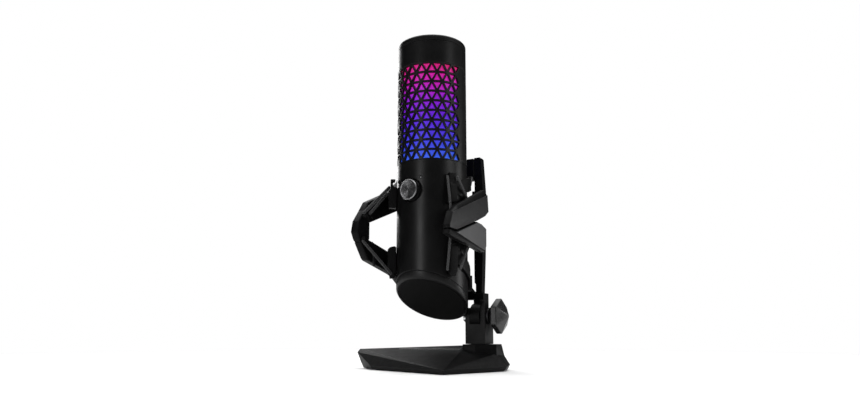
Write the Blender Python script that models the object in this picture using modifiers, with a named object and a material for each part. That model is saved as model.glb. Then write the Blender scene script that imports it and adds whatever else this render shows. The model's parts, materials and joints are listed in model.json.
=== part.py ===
"""Desktop condenser microphone in a tilting elastic suspension frame on a heavy faceted base.

Every shape is laid out from the axis of the microphone tube: X to its right, Y to its rear, Z up
from the table. One empty then places the whole assembly. Lengths are given in millimetres and
scaled by MM.
"""
import math

import bmesh
import bpy
from mathutils import Matrix, Vector

MM = 0.001
OBJECT_NAME = "desktop_microphone"

# ---- driving dimensions, millimetres ----
GAP = 0.3
ASSEMBLY_SHIFT_X = 20.0
ASSEMBLY_SHIFT_Y = -4.63

TUBE_R = 33.0
TUBE_WALL = 2.2
TUBE_SIDES = 48
TOTAL_HEIGHT = 310.2
CAP_SEAM = 304.6
GRILLE_TOP = 282.5
GRILLE_BOTTOM = 189.7
GRILLE_WALL = 2.0
BOTTOM_AXIS_Z = 64.0
BOTTOM_SLOPE = -0.55
TRIM_HEIGHT = 7.0
BOTTOM_COVER_HEIGHT = 3.0

DIAL_Z = 161.5
DIAL_ANGLE = -7.0
DIAL_R = 9.6
DIAL_FACE = 38.8
DIAL_BACK = 29.0
DIAL_BORE = 34.8
BEZEL_R = 10.8
BEZEL_RIM = 31.6
BEZEL_FLOOR = 24.6
SHAFT_R = 2.8
SHAFT_BACK = 22.8
LED_Z = 173.0
LED_ANGLE = 9.5
LED_R = 1.2

PORT_FRONT_Y = 25.4
PORT_BACK_Y = 32.9
USB_Z = 120.0
USB_WIDTH = 9.0
USB_HEIGHT = 3.2
USB_WALL = 0.4
JACK_FRONT_Y = 22.0
JACK_Z = 104.0
JACK_R = 3.0
JACK_BORE_R = 1.8

COLLAR_INNER_R = 28.0
DIFFUSER_OUTER_R = 30.6
DIFFUSER_INNER_R = 28.4
FOAM_INNER_R = 24.6
INSIDE_R = 30.2
BOARD_THICKNESS = 1.6
RING_BOARD_TOP = 188.6
CHASSIS_TOP = 186.4
CAPSULE_Z = 236.0
CAPSULE_R = 12.7

BLOCK_ANGLE = 56.0
BLOCK_HALF_WIDTH = 3.3
BLOCK_INNER_R = TUBE_R + 0.35
BLOCK_OUTER_R = 41.2
HOOK_OUTER_R = 39.2
BAND_OUTER_R = 35.4
BAND_START_ANGLE = 64.0
BAND_HEIGHT = 13.0
UPPER_BAND_Z = 168.0
UPPER_BAND_SLOPE = 0.30
LOWER_BAND_Z = 94.0
LOWER_BAND_SLOPE = -0.58
LUG_ANGLE = 132.0
LUG_OUTER_R = 37.6
LUG_HALF_WIDTH = 4.0
LUG_HALF_HEIGHT = 7.0
STRAND_R = 1.3

ARM_OUTER_X = 46.0
ARM_INNER_X = 39.0
ARM_REAR_Y = 24.0
BRIDGE_FRONT_Y = 43.0
BRIDGE_BACK_Y = 51.0
RAIL_FRONT_Y = 44.0
RAIL_BACK_Y = 52.0
RAIL_LEFT_X = 24.5
RAIL_TOP = 206.0
WALL_THICKNESS = 3.2
WALL_START_Y = 13.0
WALL_BEND_Y = 27.0

PIVOT_Y = 39.6
PIVOT_Z = 50.2
PIVOT_LUG_R = 12.0
LUG_LEFT_X = 24.5
LUG_RIGHT_X = 34.5
LUG_TOP = 72.0
BOLT_R = 3.0
BOLT_HOLE_R = 3.3

POST_LEFT_X = 19.6
POST_RIGHT_X = 39.6
POST_FRONT_Y = 29.6
POST_BACK_Y = 49.6
POST_FOOT_Z = 24.8
POST_TOP_Z = 65.0
POST_BACK_TOP_Z = 51.0
POST_LEFT_WALL_TOP = 58.0
PIVOT_SLOT_HALF = 13.0
BOLT_LEFT_X = 17.6
BOLT_RIGHT_X = 50.0
BOLT_HEAD_R = 6.0
BOLT_HEAD_X = 15.3
WASHER_R = 8.0
KNOB_R = 16.4
KNOB_START_X = 41.8
KNOB_BORE_DEPTH = 9.0

PAD_HEIGHT = 1.5
SOLE_POCKET_TOP = 1.8
POCKET_TOP = 9.0

# Corners of the base, given as (x, y, z): the sole, the lip above it, and the ridges of the top.
BASE_SOLE = [(-70.0, 10.0, 0.6), (28.0, -32.0, 0.6), (53.4, 41.5, 0.6),
             (44.0, 74.0, 0.6), (-82.0, 74.0, 0.6), (-95.0, 34.0, 0.6)]
BASE_LIP = [(-71.6, 8.6, 4.6), (28.0, -34.0, 4.0), (55.4, 42.0, 4.0),
            (45.6, 76.0, 5.0), (-83.6, 76.0, 5.0), (-97.6, 33.0, 6.0)]
BASE_RIDGES = [(-98.8, 27.6, 16.0), (-97.6, 31.0, 19.2), (-86.0, 66.0, 17.0),
               (31.0, 14.0, 12.2), (50.4, 38.6, 12.2), (30.0, 27.0, 15.8),
               (46.0, 37.0, 15.8), (15.0, 41.0, 23.4), (44.0, 62.0, 16.0)]
PLINTH_FOOT = [(17.0, 27.2, 12.0), (30.4, 27.2, 12.0), (47.6, 37.0, 12.0),
               (46.0, 62.0, 12.0), (17.0, 62.0, 12.0)]
PLINTH_TOP = [(17.6, 27.8, 24.5), (30.0, 27.8, 24.5), (47.2, 37.6, 24.5),
              (45.0, 56.0, 24.5), (17.6, 56.0, 24.5)]

# Plain outlines of the base's inner plates, as (x, y).
SOLE_OUTLINE = [(-67.0, 12.6), (25.6, -27.0), (49.4, 41.0), (41.4, 70.0), (-79.4, 70.0), (-91.0, 34.0)]
WEIGHT_OUTLINE = [(-62.0, 17.0), (24.0, 5.0), (43.0, 40.0), (38.0, 64.0), (-76.0, 64.0), (-85.0, 36.0)]

BASE_SCREWS = (("base_screw_left", -50.0, 40.0), ("base_screw_right", 26.0, 56.0))

# Side outlines of the frame's arms, as (y, z).
LEFT_UPPER_OUTLINE = [(-49.0, 151.2), (-12.8, 166.4), (0.0, 175.0), (10.0, 181.6), (24.0, 203.0),
                      (24.0, 162.0), (6.7, 152.4), (-46.0, 132.6), (-55.2, 143.0)]
LEFT_CHEEK_OUTLINE = [(-46.3, 132.3), (-55.5, 142.7), (-64.8, 131.4), (-66.9, 121.8), (-63.6, 116.2),
                      (-61.6, 113.8), (-46.3, 117.0)]
LEFT_LOWER_OUTLINE = [(-61.2, 113.3), (-50.1, 99.8), (-47.9, 98.4), (0.0, 88.3), (24.0, 74.0),
                      (24.0, 101.5), (-17.0, 110.6), (-46.0, 116.6)]
RIGHT_UPPER_OUTLINE = [(-56.8, 120.8), (-56.8, 123.4), (-50.4, 135.6), (-39.0, 142.4), (24.0, 168.0),
                       (26.0, 163.4), (28.2, 147.0), (19.8, 141.4), (2.6, 134.9), (-43.0, 120.4)]
RIGHT_LOWER_OUTLINE = [(-56.4, 116.0), (-56.4, 119.8), (-43.0, 119.6), (2.0, 134.2), (12.0, 133.4),
                       (22.2, 130.4), (21.8, 113.0), (18.6, 107.8), (-50.0, 114.6)]

# Front outlines of the plates behind the tube on the right, as (x, z).
LOWER_RAIL_OUTLINE = [(RAIL_LEFT_X, 60.0), (30.0, 60.0), (32.2, 108.0), (32.8, 132.0), (23.2, 132.0),
                      (23.2, 82.4), (RAIL_LEFT_X, 81.0)]
UPPER_PLATE_OUTLINE = [(RAIL_LEFT_X, 150.0), (33.6, 150.0), (33.4, 172.0), (31.4, 204.6),
                       (30.4, RAIL_TOP), (RAIL_LEFT_X, RAIL_TOP)]
LOWER_WALL_Z = (110.0, 127.0)
UPPER_WALL_Z = (150.0, 165.0)
UPPER_BRIDGE_Z = (183.6, 205.4)
LOWER_BRIDGE_Z = (66.0, 80.0)

COLOURS = {
    "tube_black": ((0.020, 0.020, 0.022), 0.42, 0.55),
    "frame_black": ((0.016, 0.016, 0.017), 0.55, 0.0),
    "frame_grey": ((0.055, 0.055, 0.057), 0.50, 0.1),
    "base_black": ((0.030, 0.030, 0.031), 0.60, 0.0),
    "spun_metal": ((0.30, 0.30, 0.31), 0.28, 1.0),
    "steel": ((0.45, 0.45, 0.46), 0.30, 1.0),
    "diffuser": ((0.75, 0.20, 0.60), 0.50, 0.0),
    "elastic_grey": ((0.13, 0.13, 0.135), 0.85, 0.0),
    "rubber": ((0.012, 0.012, 0.012), 0.85, 0.0),
    "foam": ((0.05, 0.05, 0.05), 0.95, 0.0),
    "board_green": ((0.02, 0.10, 0.05), 0.45, 0.0),
    "brass": ((0.60, 0.45, 0.18), 0.30, 1.0),
    "clear_lens": ((0.70, 0.72, 0.75), 0.20, 0.0),
}


# ---- scene and helpers ----
def clear_scene():
    for obj in list(bpy.data.objects):
        bpy.data.objects.remove(obj, do_unlink=True)


def new_collection(name):
    collection = bpy.data.collections.new(name)
    bpy.context.scene.collection.children.link(collection)
    return collection


clear_scene()
PARTS = new_collection(OBJECT_NAME)
CUTTERS = new_collection("cutters")
EMPTIES = {}


def add_empty(name, place, parent=None):
    """An empty on an axis. Its place is stored in millimetres from the tube's axis."""
    empty = bpy.data.objects.new(name, None)
    empty.empty_display_size = 10 * MM
    PARTS.objects.link(empty)
    parent_place = Vector(EMPTIES[parent][1]) if parent else Vector((0, 0, 0))
    empty.location = (Vector(place) - parent_place) * MM
    if parent:
        empty.parent = EMPTIES[parent][0]
    EMPTIES[name] = (empty, tuple(place))


def material(name):
    found = bpy.data.materials.get(name)
    if found:
        return found
    colour, roughness, metallic = COLOURS[name]
    made = bpy.data.materials.new(name)
    made.use_nodes = True
    shader = made.node_tree.nodes["Principled BSDF"]
    shader.inputs["Base Color"].default_value = (*colour, 1.0)
    shader.inputs["Roughness"].default_value = roughness
    shader.inputs["Metallic"].default_value = metallic
    return made


def finish_object(obj, parent, finish, smooth=30.0):
    """Gives an object its material, its shading and its parent empty."""
    obj.data.materials.clear()
    obj.data.materials.append(material(finish))
    for polygon in obj.data.polygons:
        polygon.use_smooth = True
    obj.data.set_sharp_from_angle(angle=math.radians(smooth))
    empty, place = EMPTIES[parent]
    obj.parent = empty
    obj.location = -Vector(place) * MM
    return obj


def object_from_bmesh(name, shape, collection=None):
    """Turns a bmesh made in millimetres into an object in metres."""
    bmesh.ops.recalc_face_normals(shape, faces=shape.faces)
    bmesh.ops.scale(shape, vec=(MM, MM, MM), verts=shape.verts)
    mesh = bpy.data.meshes.new(name)
    shape.to_mesh(mesh)
    shape.free()
    obj = bpy.data.objects.new(name, mesh)
    (collection or PARTS).objects.link(obj)
    return obj


def box_shape(low, high):
    shape = bmesh.new()
    bmesh.ops.create_cube(shape, size=1.0)
    size = [high[i] - low[i] for i in range(3)]
    centre = [(high[i] + low[i]) / 2 for i in range(3)]
    bmesh.ops.scale(shape, vec=size, verts=shape.verts)
    bmesh.ops.translate(shape, vec=centre, verts=shape.verts)
    return shape


def rod_shape(start, end, radius, sides=32, end_radius=None):
    """A cylinder or cone between two points."""
    start, end = Vector(start), Vector(end)
    along = end - start
    shape = bmesh.new()
    turn = along.to_track_quat("Z", "Y").to_matrix().to_4x4()
    bmesh.ops.create_cone(shape, cap_ends=True, cap_tris=False, segments=sides, radius1=radius,
                          radius2=radius if end_radius is None else end_radius, depth=along.length,
                          matrix=Matrix.Translation((start + end) / 2) @ turn)
    return shape


def hull_shape(points):
    shape = bmesh.new()
    for point in points:
        shape.verts.new(point)
    made = bmesh.ops.convex_hull(shape, input=shape.verts)
    unused = [v for v in made["geom_interior"] if isinstance(v, bmesh.types.BMVert)]
    bmesh.ops.delete(shape, geom=unused, context="VERTS")
    bmesh.ops.dissolve_limit(shape, angle_limit=math.radians(0.5), verts=shape.verts, edges=shape.edges)
    return shape


def outline_object(name, points, low, high, axis, collection=None):
    """A flat outline extruded from low to high along an axis. It is a filled curve made a mesh."""
    curve = bpy.data.curves.new(name + "_outline", "CURVE")
    curve.dimensions = "2D"
    curve.fill_mode = "BOTH"
    curve.extrude = (high - low) / 2 * MM
    line = curve.splines.new("POLY")
    line.points.add(len(points) - 1)
    for spot, (across, up) in zip(line.points, points):
        spot.co = (across * MM, up * MM, 0.0, 1.0)
    line.use_cyclic_u = True
    flat = bpy.data.objects.new(name + "_curve", curve)
    bpy.context.scene.collection.objects.link(flat)
    middle = (high + low) / 2 * MM
    if axis == "X":
        frame = Matrix(((0, 0, 1, middle), (1, 0, 0, 0), (0, 1, 0, 0), (0, 0, 0, 1)))
    elif axis == "Y":
        frame = Matrix(((1, 0, 0, 0), (0, 0, -1, middle), (0, 1, 0, 0), (0, 0, 0, 1)))
    else:
        frame = Matrix.Translation((0, 0, middle))
    bpy.context.view_layer.update()
    ready = flat.evaluated_get(bpy.context.evaluated_depsgraph_get())
    mesh = bpy.data.meshes.new_from_object(ready)
    bpy.data.objects.remove(flat, do_unlink=True)
    shape = bmesh.new()
    shape.from_mesh(mesh)
    bpy.data.meshes.remove(mesh)
    bmesh.ops.remove_doubles(shape, verts=shape.verts, dist=1e-6)
    bmesh.ops.dissolve_limit(shape, angle_limit=math.radians(0.5), verts=shape.verts, edges=shape.edges)
    bmesh.ops.transform(shape, matrix=frame, verts=shape.verts)
    bmesh.ops.scale(shape, vec=(1 / MM, 1 / MM, 1 / MM), verts=shape.verts)
    return object_from_bmesh(name, shape, collection)


def turned_object(name, profile, sides=TUBE_SIDES, angle=360.0):
    """A closed (radius, height) profile turned about Z with a Screw modifier."""
    shape = bmesh.new()
    spots = [shape.verts.new((radius * MM, 0.0, height * MM)) for radius, height in profile]
    for index, spot in enumerate(spots):
        following = spots[(index + 1) % len(spots)]
        closes_on_axis = spot.co.x == 0.0 and following.co.x == 0.0
        if not closes_on_axis:
            shape.edges.new((spot, following))
    mesh = bpy.data.meshes.new(name)
    shape.to_mesh(mesh)
    shape.free()
    obj = bpy.data.objects.new(name, mesh)
    PARTS.objects.link(obj)
    screw = obj.modifiers.new("turn", "SCREW")
    screw.axis = "Z"
    screw.angle = math.radians(angle)
    screw.steps = sides
    screw.render_steps = sides
    screw.use_merge_vertices = True
    screw.merge_threshold = 0.00001
    return obj


def apply_modifiers(obj):
    bpy.context.view_layer.update()
    ready = obj.evaluated_get(bpy.context.evaluated_depsgraph_get())
    mesh = bpy.data.meshes.new_from_object(ready)
    obj.modifiers.clear()
    obj.data = mesh
    return obj


def bevel(obj, width, segments=1, angle=30.0):
    """Rounds the edges that turn by more than an angle."""
    rounded = obj.modifiers.new("bevel", "BEVEL")
    rounded.width = width * MM
    rounded.segments = segments
    rounded.limit_method = "ANGLE"
    rounded.angle_limit = math.radians(angle)
    return obj


def boolean(obj, shape, operation="DIFFERENCE"):
    """Cuts a shape out of an object, or joins it on, and keeps the cutter hidden."""
    cutter = shape if isinstance(shape, bpy.types.Object) else object_from_bmesh(
        obj.name + "_cutter", shape, CUTTERS)
    cutter.hide_render = True
    cutter.display_type = "WIRE"
    step = obj.modifiers.new(operation.lower(), "BOOLEAN")
    step.operation = operation
    step.solver = "EXACT"
    step.object = cutter
    return apply_modifiers(obj)


def shear_rows(obj, slope, below=None):
    """Slides points up in step with y, all of them or only those under a height."""
    for vertex in obj.data.vertices:
        if below is None or vertex.co.z < below * MM:
            vertex.co.z += slope * vertex.co.y


def around(angle, radius, height):
    """A point at an angle from the tube's front, positive towards the right."""
    turn = math.radians(angle)
    return (radius * math.sin(turn), -radius * math.cos(turn), height)


# ---- stand ----
def make_base_cover():
    cover = object_from_bmesh("base_cover", hull_shape(BASE_SOLE + BASE_LIP + BASE_RIDGES))
    boolean(cover, hull_shape(PLINTH_FOOT + PLINTH_TOP), "UNION")
    for name, outline, top in (("weight_pocket", WEIGHT_OUTLINE, POCKET_TOP),
                               ("sole_pocket", SOLE_OUTLINE, SOLE_POCKET_TOP)):
        boolean(cover, outline_object(name, outline, -5.0, top, "Z", CUTTERS))
    bevel(cover, 0.5)
    return finish_object(cover, "stand", "base_black")


def inset_outline(points, distance):
    """An outline drawn in towards its middle by about a distance."""
    middle = Vector((sum(p[0] for p in points), sum(p[1] for p in points))) / len(points)
    drawn = []
    for point in points:
        inward = (middle - Vector(point)).normalized()
        drawn.append(tuple(Vector(point) + inward * distance))
    return drawn


def make_base_inside():
    weight = outline_object("base_weight", inset_outline(WEIGHT_OUTLINE, 1.0), PAD_HEIGHT + GAP,
                            POCKET_TOP - GAP, "Z")
    sole = outline_object("base_sole", inset_outline(SOLE_OUTLINE, 0.8), 0.0, PAD_HEIGHT, "Z")
    for name, x, y in BASE_SCREWS:
        for plate in (weight, sole):
            boolean(plate, rod_shape((x, y, -1.0), (x, y, 12.0), 3.4, 16))
        screw = object_from_bmesh(name, rod_shape((x, y, 2.4), (x, y, POCKET_TOP - GAP), 3.0, 16))
        bevel(screw, 0.3, 1)
        finish_object(screw, "stand", "steel")
    finish_object(weight, "stand", "steel")
    finish_object(sole, "stand", "rubber")


def make_post():
    outline = [(POST_FRONT_Y, POST_FOOT_Z), (POST_BACK_Y, POST_FOOT_Z), (POST_BACK_Y, POST_BACK_TOP_Z),
               (POST_FRONT_Y + 10.8, 57.6), (POST_FRONT_Y + 1.2, POST_TOP_Z), (POST_FRONT_Y, POST_TOP_Z)]
    post = outline_object("post", outline, POST_LEFT_X, POST_RIGHT_X, "X")
    slot_left, slot_right = LUG_LEFT_X - GAP, LUG_RIGHT_X + GAP
    boolean(post, pivot_rod(slot_left, slot_right, PIVOT_LUG_R + GAP, 32))
    boolean(post, box_shape((slot_left, PIVOT_Y - PIVOT_SLOT_HALF, PIVOT_Z),
                            (slot_right, PIVOT_Y + PIVOT_SLOT_HALF, 80.0)))
    boolean(post, box_shape((POST_LEFT_X - 1.0, POST_FRONT_Y - 1.0, POST_LEFT_WALL_TOP),
                            (slot_left + 0.1, POST_BACK_Y + 1.0, 80.0)))
    boolean(post, pivot_rod(POST_LEFT_X - 2.0, POST_RIGHT_X + 2.0, BOLT_HOLE_R))
    bevel(post, 0.5)
    return finish_object(post, "stand", "base_black")


def pivot_rod(left, right, radius, sides=20):
    """A rod on the tilt axis between two X places."""
    return rod_shape((left, PIVOT_Y, PIVOT_Z), (right, PIVOT_Y, PIVOT_Z), radius, sides)


def make_pivot_hardware():
    bolt = object_from_bmesh("pivot_bolt", pivot_rod(BOLT_LEFT_X, BOLT_RIGHT_X, BOLT_R, 24))
    boolean(bolt, pivot_rod(POST_LEFT_X - GAP, BOLT_HEAD_X, BOLT_HEAD_R, 6), "UNION")
    finish_object(bolt, "stand", "steel")
    washer = object_from_bmesh("friction_washer",
                               pivot_rod(POST_RIGHT_X + GAP, KNOB_START_X - GAP, WASHER_R, 32))
    boolean(washer, pivot_rod(POST_RIGHT_X - 5.0, KNOB_START_X + 5.0, BOLT_HOLE_R, 24))
    finish_object(washer, "stand", "steel")


def make_clamp_knob():
    profile = [(0.0, 17.0), (2.0, 17.0), (KNOB_R, 10.4), (KNOB_R, 5.2), (6.6, 0.0), (0.0, 0.0)]
    knob = apply_modifiers(turned_object("clamp_knob", profile, 6))
    to_axis = Matrix.Rotation(math.radians(90.0), 4, "Y")
    knob.data.transform(Matrix.Translation(Vector((KNOB_START_X, PIVOT_Y, PIVOT_Z)) * MM) @ to_axis)
    boolean(knob, pivot_rod(KNOB_START_X - 2.0, KNOB_START_X + KNOB_BORE_DEPTH, BOLT_HOLE_R))
    bevel(knob, 0.5, 1, 20.0)
    return finish_object(knob, "knob_axis", "frame_grey", 20.0)


# ---- tilting frame ----
def wall_object(name, levels, meet_x):
    """A stub wall behind a right arm, bent in to meet the plate behind the tube."""
    outer = ARM_INNER_X - GAP
    inner = outer - WALL_THICKNESS
    buried = RAIL_FRONT_Y + 2.0
    outline = [(inner, WALL_START_Y), (outer, WALL_START_Y), (outer, WALL_BEND_Y), (meet_x, buried),
               (meet_x - 4.0, buried), (inner, WALL_BEND_Y)]
    return outline_object(name, outline, *levels, "Z", CUTTERS)


def make_lower_rail():
    """The plate that rises from the pivot lug, with the wall that carries the lower right arm."""
    rail = outline_object("lower_rail", LOWER_RAIL_OUTLINE, RAIL_FRONT_Y, RAIL_BACK_Y, "Y")
    boolean(rail, box_shape((LUG_LEFT_X, PIVOT_Y - 1.0, PIVOT_Z), (LUG_RIGHT_X, RAIL_BACK_Y - 0.4, LUG_TOP)),
            "UNION")
    boolean(rail, pivot_rod(LUG_LEFT_X, LUG_RIGHT_X, PIVOT_LUG_R, 32), "UNION")
    boolean(rail, pivot_rod(LUG_LEFT_X - 5.0, LUG_RIGHT_X + 5.0, BOLT_HOLE_R))
    boolean(rail, wall_object("lower_wall", LOWER_WALL_Z, 31.0), "UNION")
    bevel(rail, 0.6)
    return finish_object(rail, "tilt_axis", "frame_black")


def make_upper_plate():
    """The plate behind the tube that the upper right arm carries on its own wall."""
    plate = outline_object("upper_plate", UPPER_PLATE_OUTLINE, RAIL_FRONT_Y, RAIL_BACK_Y, "Y")
    boolean(plate, wall_object("upper_wall", UPPER_WALL_Z, 33.0), "UNION")
    bevel(plate, 0.6)
    return finish_object(plate, "tilt_axis", "frame_black")


def make_bridges():
    reach_left, reach_in = -ARM_OUTER_X, -ARM_INNER_X
    start = ARM_REAR_Y + GAP
    outline = [(reach_left, start), (reach_in, start), (-34.0, BRIDGE_FRONT_Y),
               (RAIL_LEFT_X - GAP, BRIDGE_FRONT_Y), (RAIL_LEFT_X - GAP, BRIDGE_BACK_Y),
               (-38.0, BRIDGE_BACK_Y), (reach_left, 34.0)]
    upper = outline_object("upper_bridge", outline, *UPPER_BRIDGE_Z, "Z")
    bevel(upper, 0.6)
    finish_object(upper, "tilt_axis", "frame_black")
    lower = outline_object("lower_bridge", outline, *LOWER_BRIDGE_Z, "Z")
    corner = ((12.0, 85.0), (26.0, 85.0), (26.0, 69.0))
    slope_cut = hull_shape([(x, y, z) for y in (40.0, 55.0) for x, z in corner])
    boolean(lower, slope_cut)
    bevel(lower, 0.6)
    finish_object(lower, "tilt_axis", "frame_black")


def make_left_arms():
    for name, outline in (("left_upper_arm", LEFT_UPPER_OUTLINE), ("left_cheek", LEFT_CHEEK_OUTLINE),
                          ("left_lower_arm", LEFT_LOWER_OUTLINE)):
        arm = outline_object(name, outline, -ARM_OUTER_X, -ARM_INNER_X, "X")
        bevel(arm, 0.7)
        finish_object(arm, "tilt_axis", "frame_black")


def make_right_arms():
    for name, outline, finish in (("right_upper_arm", RIGHT_UPPER_OUTLINE, "frame_black"),
                                  ("right_lower_arm", RIGHT_LOWER_OUTLINE, "frame_grey")):
        arm = outline_object(name, outline, ARM_INNER_X, ARM_OUTER_X, "X")
        bevel(arm, 0.6)
        finish_object(arm, "tilt_axis", finish)


# Pegs that the strands loop over: the side they stand on, and their place as (y, z).
PEGS = (("peg_left_upper", (-1, -58.0, 136.0)), ("peg_left_lower", (-1, -59.6, 116.6)),
        ("peg_right_upper_front", (1, -35.0, 136.6)), ("peg_right_upper_rear", (1, 6.0, 149.4)),
        ("peg_right_lower_front", (1, -36.0, 122.0)), ("peg_right_lower_rear", (1, 8.4, 121.2)))


def make_pegs():
    for name, (side, y, z) in PEGS:
        start = (side * (ARM_INNER_X - GAP), y, z)
        end = (side * (ARM_INNER_X - 4.0), y, z)
        peg = object_from_bmesh(name, rod_shape(start, end, 1.6, 12))
        bevel(peg, 0.3, 1)
        finish_object(peg, "tilt_axis", "steel")


# ---- elastic strands: the ends of each one as (start, end) ----
STRANDS = {
    "strand_left_upper_outer": ((-37.0, -56.6, 139.0), (-34.0, -23.4, 170.6)),
    "strand_left_upper_inner": ((-37.0, -48.6, 139.6), (-36.8, -24.4, 162.6)),
    "strand_left_lower": ((-37.0, -58.6, 113.4), (-36.8, -24.4, 86.0)),
    "strand_right_upper_front": ((36.6, -34.4, 139.8), (30.4, -29.4, 172.0)),
    "strand_right_upper_rear": ((37.2, 3.6, 151.8), (36.3, -20.6, 172.4)),
    "strand_right_lower_front": ((36.6, -35.4, 118.8), (30.6, -29.2, 88.6)),
    "strand_right_lower_rear": ((37.2, 6.2, 118.6), (37.6, -17.6, 90.4)),
    "strand_rear_right": ((23.0, 41.2, 185.0), (27.2, 28.9, 175.4)),
    "strand_rear_left": ((-34.6, 41.2, 181.4), (-27.2, 28.9, 172.6)),
}


def make_strands():
    for name, (start, end) in STRANDS.items():
        curve = bpy.data.curves.new(name, "CURVE")
        curve.dimensions = "3D"
        curve.bevel_depth = STRAND_R * MM
        curve.bevel_resolution = 2
        curve.use_fill_caps = True
        line = curve.splines.new("POLY")
        line.points.add(1)
        for spot, place in zip(line.points, (start, end)):
            spot.co = (*(Vector(place) * MM), 1.0)
        made = bpy.data.objects.new(name + "_curve", curve)
        bpy.context.scene.collection.objects.link(made)
        bpy.context.view_layer.update()
        mesh = bpy.data.meshes.new_from_object(made.evaluated_get(bpy.context.evaluated_depsgraph_get()))
        bpy.data.objects.remove(made, do_unlink=True)
        shape = bmesh.new()
        shape.from_mesh(mesh)
        bmesh.ops.remove_doubles(shape, verts=shape.verts, dist=1e-6)
        bmesh.ops.scale(shape, vec=(1 / MM, 1 / MM, 1 / MM), verts=shape.verts)
        finish_object(object_from_bmesh(name, shape), "tilt_axis", "elastic_grey")


# ---- cradle on the tube ----
def make_band(name, middle, slope):
    profile = [(BAND_OUTER_R, middle + BAND_HEIGHT / 2), (BAND_OUTER_R, middle - BAND_HEIGHT / 2),
               (BLOCK_INNER_R, middle - BAND_HEIGHT / 2), (BLOCK_INNER_R, middle + BAND_HEIGHT / 2)]
    sweep = 360.0 - 2 * BAND_START_ANGLE
    band = turned_object(name, profile, 28, sweep)
    apply_modifiers(band)
    shape = bmesh.new()
    shape.from_mesh(band.data)
    bmesh.ops.holes_fill(shape, edges=[e for e in shape.edges if e.is_boundary], sides=4)
    bmesh.ops.recalc_face_normals(shape, faces=shape.faces)
    turn = Matrix.Rotation(math.radians(BAND_START_ANGLE - 90.0), 4, "Z")
    bmesh.ops.transform(shape, matrix=turn, verts=shape.verts)
    shape.to_mesh(band.data)
    shape.free()
    shear_rows(band, slope)
    for side in (-1, 1):
        lug = box_shape((BAND_OUTER_R - 1.6, -LUG_HALF_WIDTH, -LUG_HALF_HEIGHT),
                        (LUG_OUTER_R, LUG_HALF_WIDTH, LUG_HALF_HEIGHT))
        turn = Matrix.Rotation(math.radians(side * LUG_ANGLE - 90.0), 4, "Z")
        height = middle + slope * BAND_OUTER_R * -math.cos(math.radians(LUG_ANGLE))
        bmesh.ops.transform(lug, matrix=Matrix.Translation((0, 0, height)) @ turn, verts=lug.verts)
        boolean(band, lug, "UNION")
    bevel(band, 0.5)
    return finish_object(band, "suspension", "frame_black")


# Side outlines of the blocks that hold the strands' ends, as (distance from the tube's axis, z).
UPPER_BLOCK_OUTLINE = [(BLOCK_INNER_R, 149.0), (BLOCK_OUTER_R, 149.0), (BLOCK_OUTER_R, 164.4),
                       (HOOK_OUTER_R, 167.4), (HOOK_OUTER_R, 176.4), (34.8, 176.4), (34.8, 174.2),
                       (37.0, 174.0), (37.0, 170.6), (35.6, 169.0), (BLOCK_INNER_R, 168.6)]
LOWER_BLOCK_OUTLINE = [(BLOCK_INNER_R, 112.4), (35.0, 113.4), (HOOK_OUTER_R, 112.4), (BLOCK_OUTER_R, 110.4),
                       (BLOCK_OUTER_R, 88.0), (HOOK_OUTER_R, 86.0), (HOOK_OUTER_R, 83.8), (34.6, 83.8),
                       (34.6, 88.6), (BLOCK_INNER_R, 89.0)]


def make_blocks():
    for side, side_name in ((-1, "left"), (1, "right")):
        for level, outline in (("upper", UPPER_BLOCK_OUTLINE), ("lower", LOWER_BLOCK_OUTLINE)):
            block = outline_object("hook_block_%s_%s" % (level, side_name), outline,
                                   -BLOCK_HALF_WIDTH, BLOCK_HALF_WIDTH, "Y")
            turn = Matrix.Rotation(math.radians(side * BLOCK_ANGLE - 90.0), 4, "Z")
            block.data.transform(turn)
            bevel(block, 0.4)
            finish_object(block, "suspension", "frame_black")


# ---- microphone ----
def make_tube():
    inner = TUBE_R - TUBE_WALL
    low = BOTTOM_AXIS_Z + TRIM_HEIGHT + 0.2
    profile = [(TUBE_R, GRILLE_BOTTOM - GAP), (TUBE_R, low), (inner, low), (inner, GRILLE_BOTTOM - GAP)]
    tube = turned_object("mic_tube", profile)
    apply_modifiers(tube)
    shear_rows(tube, BOTTOM_SLOPE, low + 1.0)
    boolean(tube, rod_shape(around(DIAL_ANGLE, 20.0, DIAL_Z), around(DIAL_ANGLE, 45.0, DIAL_Z),
                            BEZEL_R + GAP, 36))
    led_out, led_in = around(LED_ANGLE, TUBE_R + 3.0, LED_Z), around(LED_ANGLE, TUBE_R - 6.0, LED_Z)
    boolean(tube, rod_shape(led_in, led_out, LED_R + GAP, 20))
    half_width, half_height = USB_WIDTH / 2 + 0.5, USB_HEIGHT / 2 + 0.4
    boolean(tube, box_shape((-half_width, PORT_FRONT_Y, USB_Z - half_height),
                            (half_width, PORT_BACK_Y + 7.0, USB_Z + half_height)))
    boolean(tube, rod_shape((0, PORT_FRONT_Y, JACK_Z), (0, PORT_BACK_Y + 7.0, JACK_Z), JACK_R + GAP, 32))
    return finish_object(tube, "suspension", "tube_black")


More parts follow.
